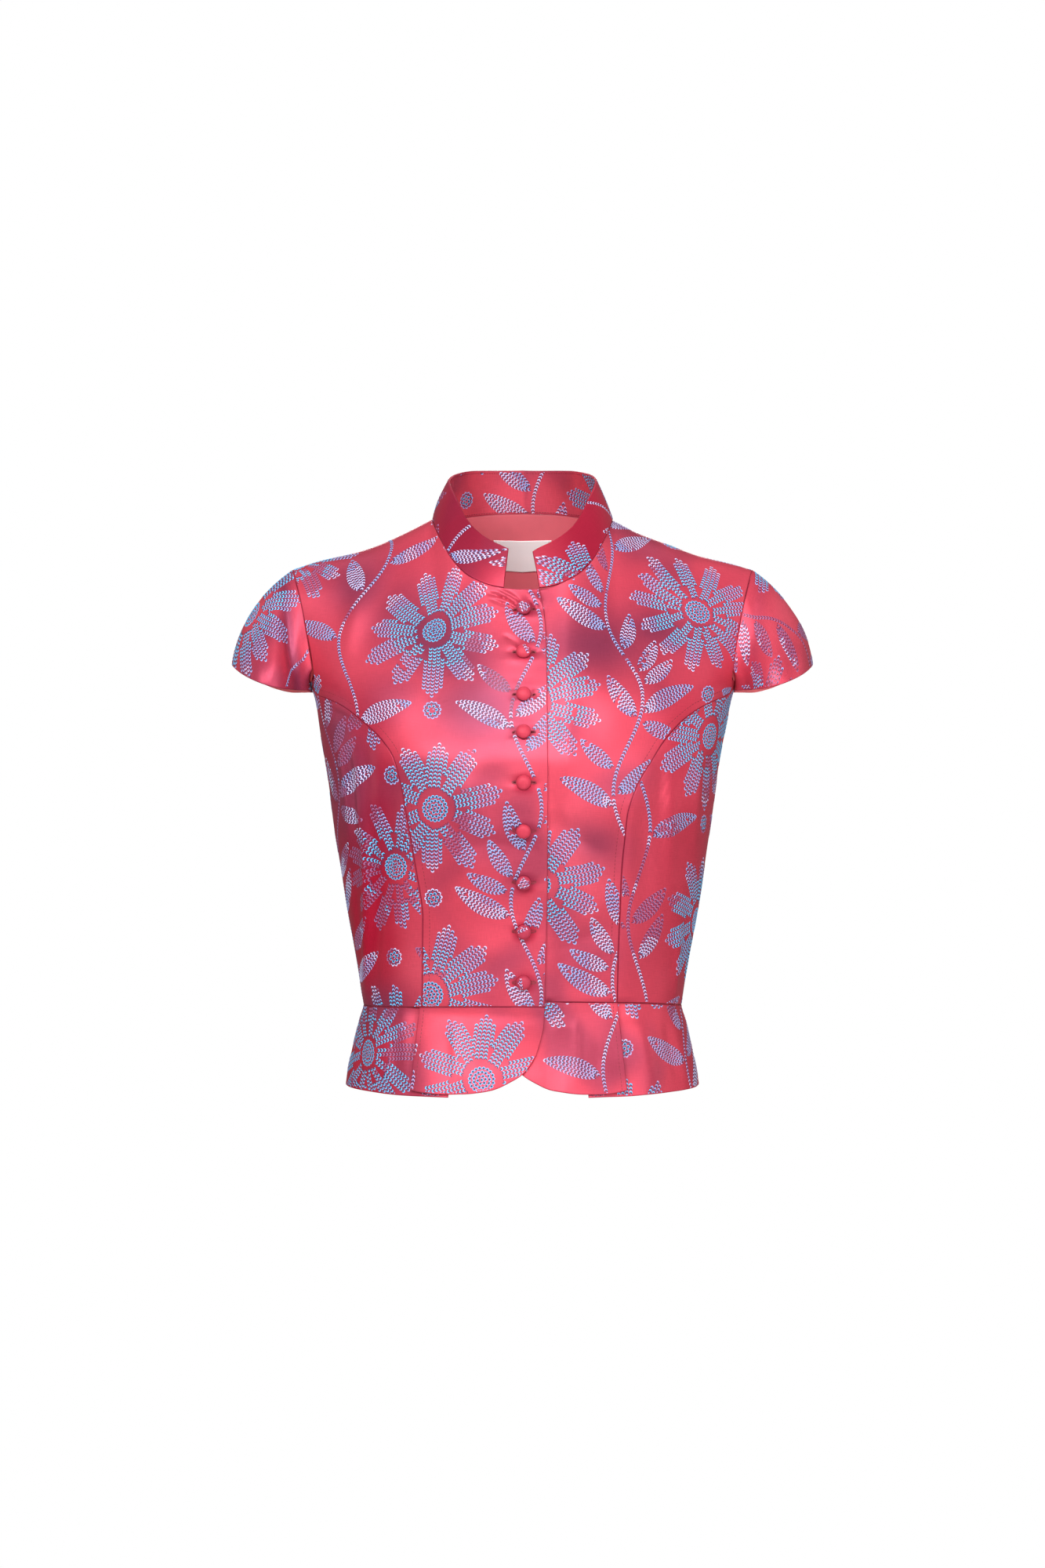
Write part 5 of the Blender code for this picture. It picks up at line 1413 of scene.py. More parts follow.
# the same painted purple shade and sheen on the back
PLUM_SHADE_SHEEN_BACK = np.array([
    (-0.0950, -0.0750, 0.0500, 0.0260, 25, 0.80),
    (0.0300, -0.1150, 0.0600, 0.0300, -20, 0.80),
    (0.1150, -0.1500, 0.0300, 0.0450, 0, 0.70),
    (-0.0600, -0.2100, 0.0450, 0.0300, 15, 0.60),
    (0.0650, -0.2700, 0.0400, 0.0300, 0, 0.60),
    (-0.1100, -0.3300, 0.0300, 0.0500, 0, 0.70),
    (0.0050, -0.3500, 0.0450, 0.0250, 0, 0.50),
    (-0.0400, -0.4350, 0.0350, 0.0220, 0, 0.60),
    (0.0900, -0.4300, 0.0300, 0.0220, 0, 0.60)])
# painted highlights on the back
PAINTED_HIGHLIGHTS_BACK = np.array([
    (0.0400, -0.0350, 0.0400, 0.0220, 0, 0.60),
    (-0.0500, -0.1500, 0.0350, 0.0300, 0, 0.70),
    (0.0550, -0.1950, 0.0350, 0.0280, 0, 0.70),
    (-0.0350, -0.2850, 0.0350, 0.0350, 0, 0.70),
    (0.0300, -0.4150, 0.0300, 0.0200, 0, 0.60)])


def blots(table, x, z):
    out = np.zeros(np.shape(x))
    for cx, cz, rx, rz, turn, strength in table:
        c, s = math.cos(math.radians(turn)), math.sin(math.radians(turn))
        u, v = (x - cx) * c + (z - cz) * s, (z - cz) * c - (x - cx) * s
        u, v = u / rx, v / rz
        ragged = 1 + 0.28 * wave(x * 1.2, z * 1.2, 7.0 + cx * 20)
        out = np.maximum(out, strength * np.exp(-0.85 * (u * u + v * v) * ragged))
    return out


def painted_light_shares(points):
    """Shares of painted purple shade and shot-silk sheen, of deep red painted shade on the sides and of pale painted
    highlight on the body and the peplum.
    """
    x, y, z = points[..., 0], points[..., 1], points[..., 2]
    fore, aft = ramp(-y, -0.012, 0.020), ramp(y, -0.012, 0.020)
    plum = blots(PLUM_SHADE_SHEEN, x, z) * fore + blots(PLUM_SHADE_SHEEN_BACK, x, z) * aft
    painted_highlight = blots(PAINTED_HIGHLIGHTS, x, z) * fore + blots(PAINTED_HIGHLIGHTS_BACK, x, z) * aft
    # painted shade: the sides darken toward deep red where the cloth turns away
    side = np.maximum(ramp(-x, 0.084, 0.114) * ramp(z, -0.165, -0.210) * ramp(-z, -0.400, -0.330), ramp(np.abs(x), 0.092, 0.132) * ramp(z, -0.120, -0.165) * np.where((x > 0) & (y < 0), 0.42, 1.0)) * (1 - 0.45 * aft)
    deep = side * (0.92 + 0.26 * wave(x * 1.5, z * 1.5, 3.0))
    # soft random purple mottling of painted shade and sheen over the whole cloth
    plum = np.maximum(1.12 * plum, 0.62 * ramp(wave(x + 0.6 * y, z, 11.0), 0.05, 0.90))
    return plum, deep, painted_highlight


# stores the painted shade, sheen and highlight shares as point attributes
def write_painted_light(item, plum, deep, painted_highlight):
    for name, values in (("plum", plum), ("deep", deep), ("painted_highlight", painted_highlight)):
        add_attribute(item, name, np.clip(values, 0, 1))


def shell_points(item):
    co = np.empty(len(item.data.vertices) * 3, np.float32)
    item.data.vertices.foreach_get("co", co)
    return co.reshape(-1, 3).astype(float)


# ================================================================ finishes
# Coral is the cloth's own colour. The deep red is painted shade, the purple painted shade and shot-silk sheen, the pale
# coral a painted highlight, and the seam colour painted shade in the seam gaps.
CORAL, DEEP_SHADE_TONE, PLUM_SHADE_SHEEN_TONE, HIGHLIGHT_TONE = (0.640, 0.058, 0.098), (0.450, 0.006, 0.032), (0.240, 0.031, 0.076), (0.860, 0.110, 0.165)
SEAM_SHADE_TONE = (0.230, 0.009, 0.034)
THREADS = {
    "thread_pale": (0.570, 0.530, 0.800), "thread_lilac": (0.430, 0.360, 0.660), "thread_blue": (0.110, 0.530, 0.900),
    "thread_dusk": (0.310, 0.390, 0.730), "thread_muted": (0.330, 0.120, 0.270), "thread_dark": (0.030, 0.022, 0.095),
    "thread_wine": (0.120, 0.014, 0.066)}


def finish_of(name, base, rough, sheen=0.0, sheen_tint=(1, 1, 1), metal=0.0, gloss=0.5, grain=(900.0, 0.10, 0.0001), aniso=0.0):
    """A principled finish with a fine grain that lifts the surface and roughens it."""
    mat = bpy.data.materials.new(name)
    mat.use_nodes = True
    tree = mat.node_tree
    shader = next(n for n in tree.nodes if n.type == "BSDF_PRINCIPLED")
    shader.inputs["Base Color"].default_value = (*base, 1)
    shader.inputs["Roughness"].default_value = rough
    shader.inputs["Metallic"].default_value = metal
    shader.inputs["Specular IOR Level"].default_value = gloss
    shader.inputs["Sheen Weight"].default_value = sheen
    shader.inputs["Sheen Tint"].default_value = (*sheen_tint, 1)
    shader.inputs["Sheen Roughness"].default_value = 0.35
    shader.inputs["Anisotropic"].default_value = aniso
    mat.diffuse_color = (*base, 1)
    scale, strength, deep = grain
    noise = tree.nodes.new("ShaderNodeTexNoise")
    noise.inputs["Scale"].default_value = scale
    noise.inputs["Detail"].default_value = 2
    coords = tree.nodes.new("ShaderNodeTexCoord")
    tree.links.new(coords.outputs["Object"], noise.inputs["Vector"])
    bump = tree.nodes.new("ShaderNodeBump")
    bump.inputs["Strength"].default_value = strength
    bump.inputs["Distance"].default_value = deep
    tree.links.new(noise.outputs["Fac"], bump.inputs["Height"])
    tree.links.new(bump.outputs["Normal"], shader.inputs["Normal"])
    uneven = tree.nodes.new("ShaderNodeMapRange")
    uneven.inputs["To Min"].default_value = rough - 0.06
    uneven.inputs["To Max"].default_value = rough + 0.06
    tree.links.new(noise.outputs["Fac"], uneven.inputs["Value"])
    tree.links.new(uneven.outputs["Result"], shader.inputs["Roughness"])
    return mat, tree, shader


def mixed(tree, share, a, b, how="MIX"):
    """A colour mixed from two sockets or colours by a share socket or number."""
    node = tree.nodes.new("ShaderNodeMix")
    node.data_type = "RGBA"
    node.blend_type = how
    for socket, value in ((node.inputs[0], share), (node.inputs[6], a), (node.inputs[7], b)):
        if isinstance(value, bpy.types.NodeSocket):
            tree.links.new(value, socket)
        elif isinstance(value, tuple):
            socket.default_value = (*value, 1)
        else:
            socket.default_value = value
    return node.outputs[2]


def reading(tree, name, vector=False):
    node = tree.nodes.new("ShaderNodeAttribute")
    node.attribute_name = name
    return node.outputs["Vector" if vector else "Fac"]


def woven(tree, name, across, along):
    """Noise drawn out along the cloth's threads."""
    scale = tree.nodes.new("ShaderNodeVectorMath")
    scale.operation = "MULTIPLY"
    scale.inputs[1].default_value = (across, along, 1)
    tree.links.new(reading(tree, "cloth", True), scale.inputs[0])
    noise = tree.nodes.new("ShaderNodeTexNoise")
    noise.inputs["Scale"].default_value = 1.0
    noise.inputs["Detail"].default_value = 3
    tree.links.new(scale.outputs[0], noise.inputs["Vector"])
    return noise.outputs["Fac"]


def satin_finish(name, base=CORAL, rough=0.42, metal=0.36):
    mat, tree, shader = finish_of(name, base, rough, sheen=0.04, sheen_tint=(1.0, 0.42, 0.52), metal=metal, gloss=0.25,
                                  grain=(1500.0, 0.12, 0.00008), aniso=0.25)
    # painted light in the base colour: deep red side shade, pale highlight, purple shade and shot-silk sheen, and shade
    # in the seam gaps
    colour = mixed(tree, reading(tree, "deep"), base, DEEP_SHADE_TONE)
    colour = mixed(tree, reading(tree, "painted_highlight"), colour, HIGHLIGHT_TONE)
    colour = mixed(tree, reading(tree, "plum"), colour, PLUM_SHADE_SHEEN_TONE)
    colour = mixed(tree, reading(tree, "seam"), colour, SEAM_SHADE_TONE)
    warp = woven(tree, name, 2600.0, 130.0)
    weft = woven(tree, name, 110.0, 2300.0)
    both = tree.nodes.new("ShaderNodeMath")
    both.operation = "ADD"
    tree.links.new(warp, both.inputs[0])
    tree.links.new(weft, both.inputs[1])
    level = tree.nodes.new("ShaderNodeMapRange")
    for key, value in (("From Min", 0.7), ("From Max", 1.3), ("To Min", 0.90), ("To Max", 1.08)):
        level.inputs[key].default_value = value
    tree.links.new(both.outputs[0], level.inputs["Value"])
    shade = tree.nodes.new("ShaderNodeCombineColor")
    for k in range(3):
        tree.links.new(level.outputs["Result"], shade.inputs[k])
    colour = mixed(tree, 1.0, colour, shade.outputs[0], "MULTIPLY")
    tree.links.new(colour, shader.inputs["Base Color"])
    return mat


def edged(found, seam):
    """The same finish, darkened with painted shade along its seam edges."""
    mat, tree, shader = found
    base = tuple(shader.inputs["Base Color"].default_value)[:3]
    uneven = tree.nodes.new("ShaderNodeTexNoise")
    uneven.inputs["Scale"].default_value = 90.0
    coords = tree.nodes.new("ShaderNodeTexCoord")
    tree.links.new(coords.outputs["Object"], uneven.inputs["Vector"])
    colour = mixed(tree, uneven.outputs["Fac"], tuple(0.93 * a for a in base), tuple(min(1.05 * a, 0.98) for a in base))
    tree.links.new(mixed(tree, reading(tree, "seam"), colour, seam), shader.inputs["Base Color"])
    return mat


SATIN = satin_finish("satin")
BUTTON_SATIN = satin_finish("button_satin", (0.640, 0.050, 0.090), 0.50, 0.12)
PLAIN, _, _ = finish_of("plain_cloth", (0.840, 0.165, 0.190), 0.62, sheen=0.15, sheen_tint=(1, 0.7, 0.7), grain=(1300.0, 0.25, 0.0001))
# the facing's edges take a dark painted shade colour along the neck seam
FACING = edged(finish_of("facing_cloth_finish", (0.790, 0.152, 0.192), 0.62, sheen=0.15, sheen_tint=(1, 0.7, 0.7),
                         grain=(1300.0, 0.25, 0.0001)), (0.300, 0.020, 0.040))
LABEL, _, _ = finish_of("label_cloth", (0.96, 0.955, 0.950), 0.42, sheen=0.15, grain=(2200.0, 0.20, 0.00008))
SEWN, _, _ = finish_of("sewing_thread", (0.210, 0.007, 0.022), 0.5, grain=(3000.0, 0.3, 0.00008))
SEWN_PALE, _, _ = finish_of("label_thread", (0.62, 0.50, 0.48), 0.55, grain=(3000.0, 0.3, 0.00008))
# the buttonhole's opening is a dark strip of painted shade
SLIT_SHADE, _, _ = finish_of("buttonhole_gap_shade", (0.070, 0.002, 0.008), 0.85, gloss=0.15, grain=(3000.0, 0.3, 0.00008))
THREAD = [finish_of(name, colour, 0.45, sheen=0.12, grain=(2600.0, 0.25, 0.00008))[0] for name, colour in THREADS.items()]


# ================================================================ the pieces
made = []


def settle_in(item):
    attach(item, "root")
    made.append(item)
    return item


def cloth(item, node, flat, area, with_pieces=(), slot="satin"):
    settle_in(item)
    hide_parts(node)
    for other in with_pieces:
        settle_in(other)


def stitches(name, lines, mats=None):
    """Stitched lines as one mesh: each line is piece, tree, cloth path, pitch."""
    parts = []
    for piece, tree, path, pitch in lines:
        spots, ways = line_of(path, pitch)
        out, faces, _ = lay(piece, tree, spots, ways, STITCH, margin=0.0003)
        parts.append((out, faces, np.zeros(len(faces), int)))
    return join(name, parts, mats or [SEWN])


# offsets into the repeat that each piece is cut at
CUT = {
    "front_right": (0.147, 0.021), "front_left": (0.066, 0.083), "side_front_right": (0.030, 0.150),
    "side_front_left": (0.205, 0.112), "back": (0.118, 0.060), "collar": (0.170, 0.250), "collar_inside": (0.171, 0.222),
    "sleeve_right": (0.085, 0.030), "sleeve_left": (0.190, 0.160), "peplum_front_right": (0.110, 0.205),
    "peplum_front_left": (0.226, 0.048), "peplum_side_right": (0.060, 0.120), "peplum_side_left": (0.140, 0.190),
    "peplum_back": (0.010, 0.075)}
# width and length of the cut, and its flat area
FLAT = {
    "front_right": (0.200, 0.395, 0.0566), "front_left": (0.200, 0.395, 0.0552), "side_front_right": (0.110, 0.300, 0.0282),
    "side_front_left": (0.110, 0.300, 0.0292), "back": (0.480, 0.430, 0.159), "collar": (0.360, 0.060, 0.0148),
    "sleeve_right": (0.290, 0.095, 0.0149), "sleeve_left": (0.290, 0.095, 0.0149), "peplum_front_right": (0.112, 0.070, 0.0065),
    "peplum_front_left": (0.112, 0.070, 0.0060), "peplum_side_right": (0.160, 0.070, 0.0095),
    "peplum_side_left": (0.160, 0.070, 0.0099), "peplum_back": (0.400, 0.075, 0.0254), "back_facing": (0.210, 0.200, 0.0296),
    "label": (0.0510, 0.0262, 0.0013)}


def dense(count, spans):
    """Broken indices with extra steps inside each of these spans."""
    out = set(range(count))
    for low, high, parts in spans:
        for k in range(int(low), int(min(high, count - 1))):
            out.update(k + p / parts for p in range(1, parts))
    return np.array(sorted(out), float)


def finer_front(side):
    """A front with its grid closer by the lapped edge and by the top button."""
    places = front_places(side, 5)
    n, m = places.shape[:2]
    i = dense(n, ((0, 14, 3), (14, 24, 2)) if side < 0 else ((0, 8, 2),))
    j = dense(m, ((78, 100, 3),) if side < 0 else ())
    i, j = np.meshgrid(i, j, indexing="ij")
    places = between(places, i, j)
    points = body(places[..., 0], places[..., 1])
    normal = normals(body, places)
    if side > 0:
        points = points - normal * under_step(points[..., 0], points[..., 2])[..., None]
    flat = cloth_body(places)
    points = points + normal * relief(points)[..., None]
    return points, outward(points, normal), flat, places


def build_body():
    for side, word in ((-1, "right"), (1, "left")):
        name = "front_" + word
        *piece, places = finer_front(side)
        piece = tuple(piece)
        # painted seam shade, at half strength beside the right front's lapped edge and none at the left front's edge
        # under it
        item = shell(name + "_cloth", piece, 0.0012, [SATIN, PLAIN], seam_shade=(0.5 if side < 0 else 0.0, 1, 1, 1))
        at = shell_points(item)
        plum, deep, painted_highlight = painted_light_shares(at)
        mid = (BUTTONHOLE[0] + BUTTONHOLE[1]) / 2
        clear = None
        if side < 0:
            # painted shadow in deep red round each button, and no painted highlight close to it
            for z in BUTTON_Z:
                far = np.hypot((at[:, 0] - BUTTON_X - 0.0008) / 1.18, at[:, 2] - z + 0.0008)
                deep = np.maximum(deep, 0.85 * ramp(-far, -0.0112, -0.0052))
                painted_highlight = painted_highlight * ramp(far, 0.006, 0.013)
            hole_at = np.array([cloth_body(chart(mid, z)) for z in BUTTON_Z])

            def clear(x, y):
                near = np.abs(y[:, None] - hole_at[None, :, 1]) < 0.0030
                near &= np.abs(x[:, None] - hole_at[None, :, 0]) < 0.0112
                return ~near.any(1)
        write_painted_light(item, plum, deep, painted_highlight)
        tree = tree_of(piece)
        marks = marks_on(name + "_woven", piece, CUT[name], THREAD, mute=0.22, seed=1.0 + side, clear=clear)
        # the princess seam's stitching, on the front's side of the seam
        low = int(np.argmin(np.abs(piece[0][-1, :, 2] + 0.140)))
        edge = piece[2][-1, :low]
        sewn = stitches(name + "_sewing", [(piece, tree, beside(edge, 0.0060 * side), 0.0030)])
        extra = [marks, sewn]
        if side < 0:
            extra.append(buttonholes(piece, tree))
        cloth(item, name, FLAT[name][:2], FLAT[name][2], extra)

        name = "side_front_" + word
        piece = body_piece(name)
        item = shell(name + "_cloth", piece, 0.0012, [SATIN, PLAIN])
        write_painted_light(item, *painted_light_shares(shell_points(item)))
        marks = marks_on(name + "_woven", piece, CUT[name], THREAD, mute=0.55, seed=4.0 + side)
        cloth(item, name, FLAT[name][:2], FLAT[name][2], [marks])

    piece = body_piece("back")
    item = shell("back_cloth", piece, 0.0012, [SATIN, PLAIN])
    write_painted_light(item, *painted_light_shares(shell_points(item)))
    tree = tree_of(piece)
    middle = cloth_body(np.array([np.pi, 0.0]))[0]
    halves = [marks_on("back_woven_" + word, piece, CUT["back"], THREAD, mute=0.25, seed=6.0, far=True,
                       clear=(lambda x, y: x < middle) if word == "a" else (lambda x, y: x >= middle)) for word in "ab"]
    z = np.linspace(-0.3890, DART_TOP, 60)
    darts = [(piece, tree, cloth_body(wrap(chart(way * dart_x(z), z, behind=True))), 0.0030) for way in (-1, 1)]
    sewn = stitches("back_sewing", darts)
    cloth(item, "back", FLAT["back"][:2], FLAT["back"][2], halves + [sewn])


def wrap(places):
    """Chart places with the turn counted round past the centre back."""
    places = places.copy()
    places[..., 0] = np.where(places[..., 0] < 0, places[..., 0] + 2 * np.pi, places[..., 0])
    return places


def buttonholes(piece, tree):
    parts = []
    for z in BUTTON_Z:
        mid = (BUTTONHOLE[0] + BUTTONHOLE[1]) / 2
        centre = cloth_body(chart(mid, z))
        ahead = cloth_body(chart(mid + 0.002, z)) - centre
        way = float(np.arctan2(ahead[1], ahead[0]))
        # the slit itself, a strip of painted shade
        out, faces, _ = lay(piece, tree, [centre], [way], SLIT)
        parts.append((out, faces, np.ones(len(faces), int)))
        run = np.arange(-0.0081, 0.0082, 0.00062)
        spots, ways = [], []
        for row in (-1, 1):
            spots += [(a, row * 0.00088) for a in run]
            ways += [np.pi / 2] * len(run)
        for end in (-1, 1):
            for a in np.radians((-60, -30, 0, 30, 60)):
                spots.append((end * (0.0083 + 0.0008 * np.cos(a)), 0.0008 * np.sin(a)))
                ways.append(a if end > 0 else np.pi - a)
        c, s = np.cos(way), np.sin(way)
        spots = np.array([(centre[0] + a * c - b * s, centre[1] + a * s + b * c) for a, b in spots])
        out, faces, _ = lay(piece, tree, spots, np.array(ways) + way, WHIP)
        parts.append((out, faces, np.zeros(len(faces), int)))
    return join("buttonholes", parts, [SEWN, SLIT_SHADE])


def build_peplum():
    for side, word in ((-1, "right"), (1, "left")):
        for part, mute in (("peplum_front_", 0.25), ("peplum_side_", 0.5)):
            name = part + word
            piece = peplum_piece(name)
            # painted seam shade, full at the waist seam and slight at the hem
            item = shell(name + "_cloth", piece, 0.0012, [SATIN, PLAIN], seam_shade=(0.3, 0.6, 1, 0.15))
            write_painted_light(item, *painted_light_shares(shell_points(item)))
            extra = [marks_on(name + "_woven", piece, CUT[name], THREAD, mute=mute, seed=8.0 + side)]
            if part == "peplum_front_":
                edge = piece[2][-1]
                way = 1 if side < 0 else -1
                extra.append(stitches(name + "_sewing", [(piece, tree_of(piece), beside(edge[::-1], -0.0045 * way), 0.0030)]))
            cloth(item, name, FLAT[name][:2], FLAT[name][2], extra)
    piece = peplum_piece("peplum_back")
    item = shell("peplum_back_cloth", piece, 0.0012, [SATIN, PLAIN], seam_shade=(1, 1, 1, 0.15))
    write_painted_light(item, *painted_light_shares(shell_points(item)))
    marks = marks_on("peplum_back_woven", piece, CUT["peplum_back"], THREAD, mute=0.3, seed=10.0, far=True)
    cloth(item, "peplum_back", FLAT["peplum_back"][:2], FLAT["peplum_back"][2], [marks])


def build_sleeves():
    for side, word in ((-1, "right"), (1, "left")):
        name = "sleeve_" + word
        piece = sleeve_piece(name)
        item = shell(name + "_cloth", piece, 0.0012, [SATIN, PLAIN], loop=True, seam_shade=(0, 0, 1, 0.15))
        at = shell_points(item)
        x, y, z = np.abs(at[:, 0]), at[:, 1], at[:, 2]
        # painted light on the sleeves: purple painted shade in the head's crease with mottled purple shade and sheen, a
        # pale painted highlight on the cap, and deep red painted shade toward the hem
        crease = np.exp(-((x - 0.1925 - 0.16 * (z + 0.064)) / 0.0062) ** 2)
        plum = (0.95 if side < 0 else 0.30) * crease * ramp(-y, 0.0, 0.02)
        plum = np.maximum(plum, (0.60 if side < 0 else 0.25) * ramp(wave(x + y, z, 13.0 + side), 0.2, 0.9))
        painted_highlight = (0.30 if side < 0 else 0.60) * np.exp(-((x - 0.212) / 0.014) ** 2 - ((z + 0.075) / 0.03) ** 2)
        deep = (0.45 if side < 0 else 0.12) * ramp(z, -0.085, -0.135) * ramp(wave(x, z + y, 15.0), -0.4, 0.8)
        write_painted_light(item, plum, deep, painted_highlight)
        marks = marks_on(name + "_woven", piece, CUT[name], THREAD, mute=0.62, seed=12.0 + side)
        cloth(item, name, FLAT[name][:2], FLAT[name][2], [marks])


def build_collar():
    piece = collar_piece()
    points, normal, flat = piece
    wall = 0.0017
    item = shell("collar_cloth", piece, wall, [SATIN, SATIN], roll=0.0008, seam_shade=(0.35, 0.35, 1, 0.2))
    at = shell_points(item)
    turn = np.degrees(np.arctan2(at[:, 0], -at[:, 1]))
    inner = np.arange(len(at)) >= len(at) // 2
    # painted light on the collar: deep red and purple painted shade on the front of the stand, purple shade and sheen
    # with a pale painted highlight on its inside
    fore = np.exp(-((np.abs(turn) - 48) / 34) ** 2)
    deep = np.where(turn < 0, 1.0, 0.92) * fore
    plum = np.clip(0.50 * ramp(wave(turn / 500, at[:, 2], 21.0), 0.0, 0.9), 0, 1) * np.where(turn < 0, 1.0, 0.6)
    plum = np.maximum(plum, 0.55 * np.exp(-((turn + 38) / 10) ** 2) * ramp(at[:, 2], -0.02, -0.045))
    plum = np.where(inner, 0.55 * ramp(wave(turn / 600, at[:, 2], 23.0), -0.1, 0.8), plum)
    plum = np.maximum(plum, np.where(inner, 0, 0.24 * fore * np.where(turn < 0, 1.0, 0.55)))
    write_painted_light(item, plum, np.where(inner, 0.08, deep), np.where(inner, 0.50, 0.0))
    # the front of the stand turns away from the light and looks wine red
    wine = np.empty(len(at), np.float32)
    item.data.attributes["seam"].data.foreach_get("value", wine)
    wine = np.maximum(wine, np.where(inner, 0, fore * np.where(turn < 0, 0.62, 0.16)))
    item.data.attributes["seam"].data.foreach_set("value", wine.astype(np.float32))
    marks = marks_on("collar_woven", piece, CUT["collar"], THREAD, mute=0.45, seed=17.0)
    inside = (points - normal * wall, -normal, flat * (-1, 1))
    lining = marks_on("collar_inside_woven", inside, CUT["collar_inside"], THREAD, mute=0.2, seed=18.0)
    tree = tree_of(inside)
    low = inside[2][:, 0] + np.array([0, 0.0016])
    top = inside[2][:, -1] - np.array([0, 0.0022])
    sewn = stitches("collar_sewing", [(inside, tree, low, 0.0024), (inside, tree, top, 0.0024)])
    cloth(item, "collar", FLAT["collar"][:2], FLAT["collar"][2], [marks, lining, sewn])


def build_inside():
    points, normal, places = facing_grid(3)
    x, z = points[..., 0], points[..., 2]
    soft = np.zeros(x.shape)
    for at, lean, wide, high in ((-0.052, 0.10, 0.0036, 0.0007), (-0.031, -0.06, 0.0030, -0.0006), (-0.006, 0.05, 0.0042, 0.0006),
                                 (0.019, -0.10, 0.0034, -0.0006), (0.041, 0.08, 0.0032, 0.0006), (0.060, -0.05, 0.0036, -0.0005)):
        soft += high * np.exp(-((x - at - lean * (z + 0.03)) / wide) ** 2)
    points = points - normal * (0.0002 + np.abs(soft))[..., None] * 0.6
    # its top edge is caught in the neck seam, under the collar's lining
    points[:, -1, 2] += 0.0009
    points[:, -2, 2] += 0.0005
    # seen from inside, so its outer face is the one that looks forward
    piece = (points - normal * FACING_WALL, -outward(points, normal), cloth_body(places) * (-1, 1))
    # its top edge darkens in painted shade along the neck seam
    item = shell("facing_cloth", piece, 0.0008, [FACING, PLAIN], roll=0.0008, seam_shade=(0, 0, 0.2, 1))
    tree = tree_of(piece)
    hem = piece[2][:, 0] + np.array([0, 0.004])
    sewn = stitches("facing_sewing", [(piece, tree, hem, 0.0030)])
    cloth(item, "back_facing", FLAT["back_facing"][:2], FLAT["back_facing"][2], [sewn], "plain_cloth")

    points, inward, _ = label_grid(3)
    flat = cloth_grid(points, len(points) // 2)
    points = points - inward * FACING_WALL
    piece = (points, -unit(inward), flat * (-1, 1))
    item = shell("label_cloth_piece", piece, 0.0007, [LABEL, LABEL], roll=0.0004)
    tree = tree_of(piece)
    ends = []
    for end in (0, -1):
        edge = piece[2][end]
        inset = np.array([0.0022 if edge[0, 0] < 0 else -0.0022, 0])
        ends.append((piece, tree, edge + inset, 0.0022))
    sewn = stitches("label_sewing", ends, [SEWN_PALE])
    cloth(item, "label", FLAT["label"][:2], FLAT["label"][2], [sewn], "label_cloth")


# share of each button's top that the woven marks cover
BUTTON_MARKS = (1.0, 0.35, 0.0, 0.0, 0.0, 0.0, 0.9, 0.55, 0.5)


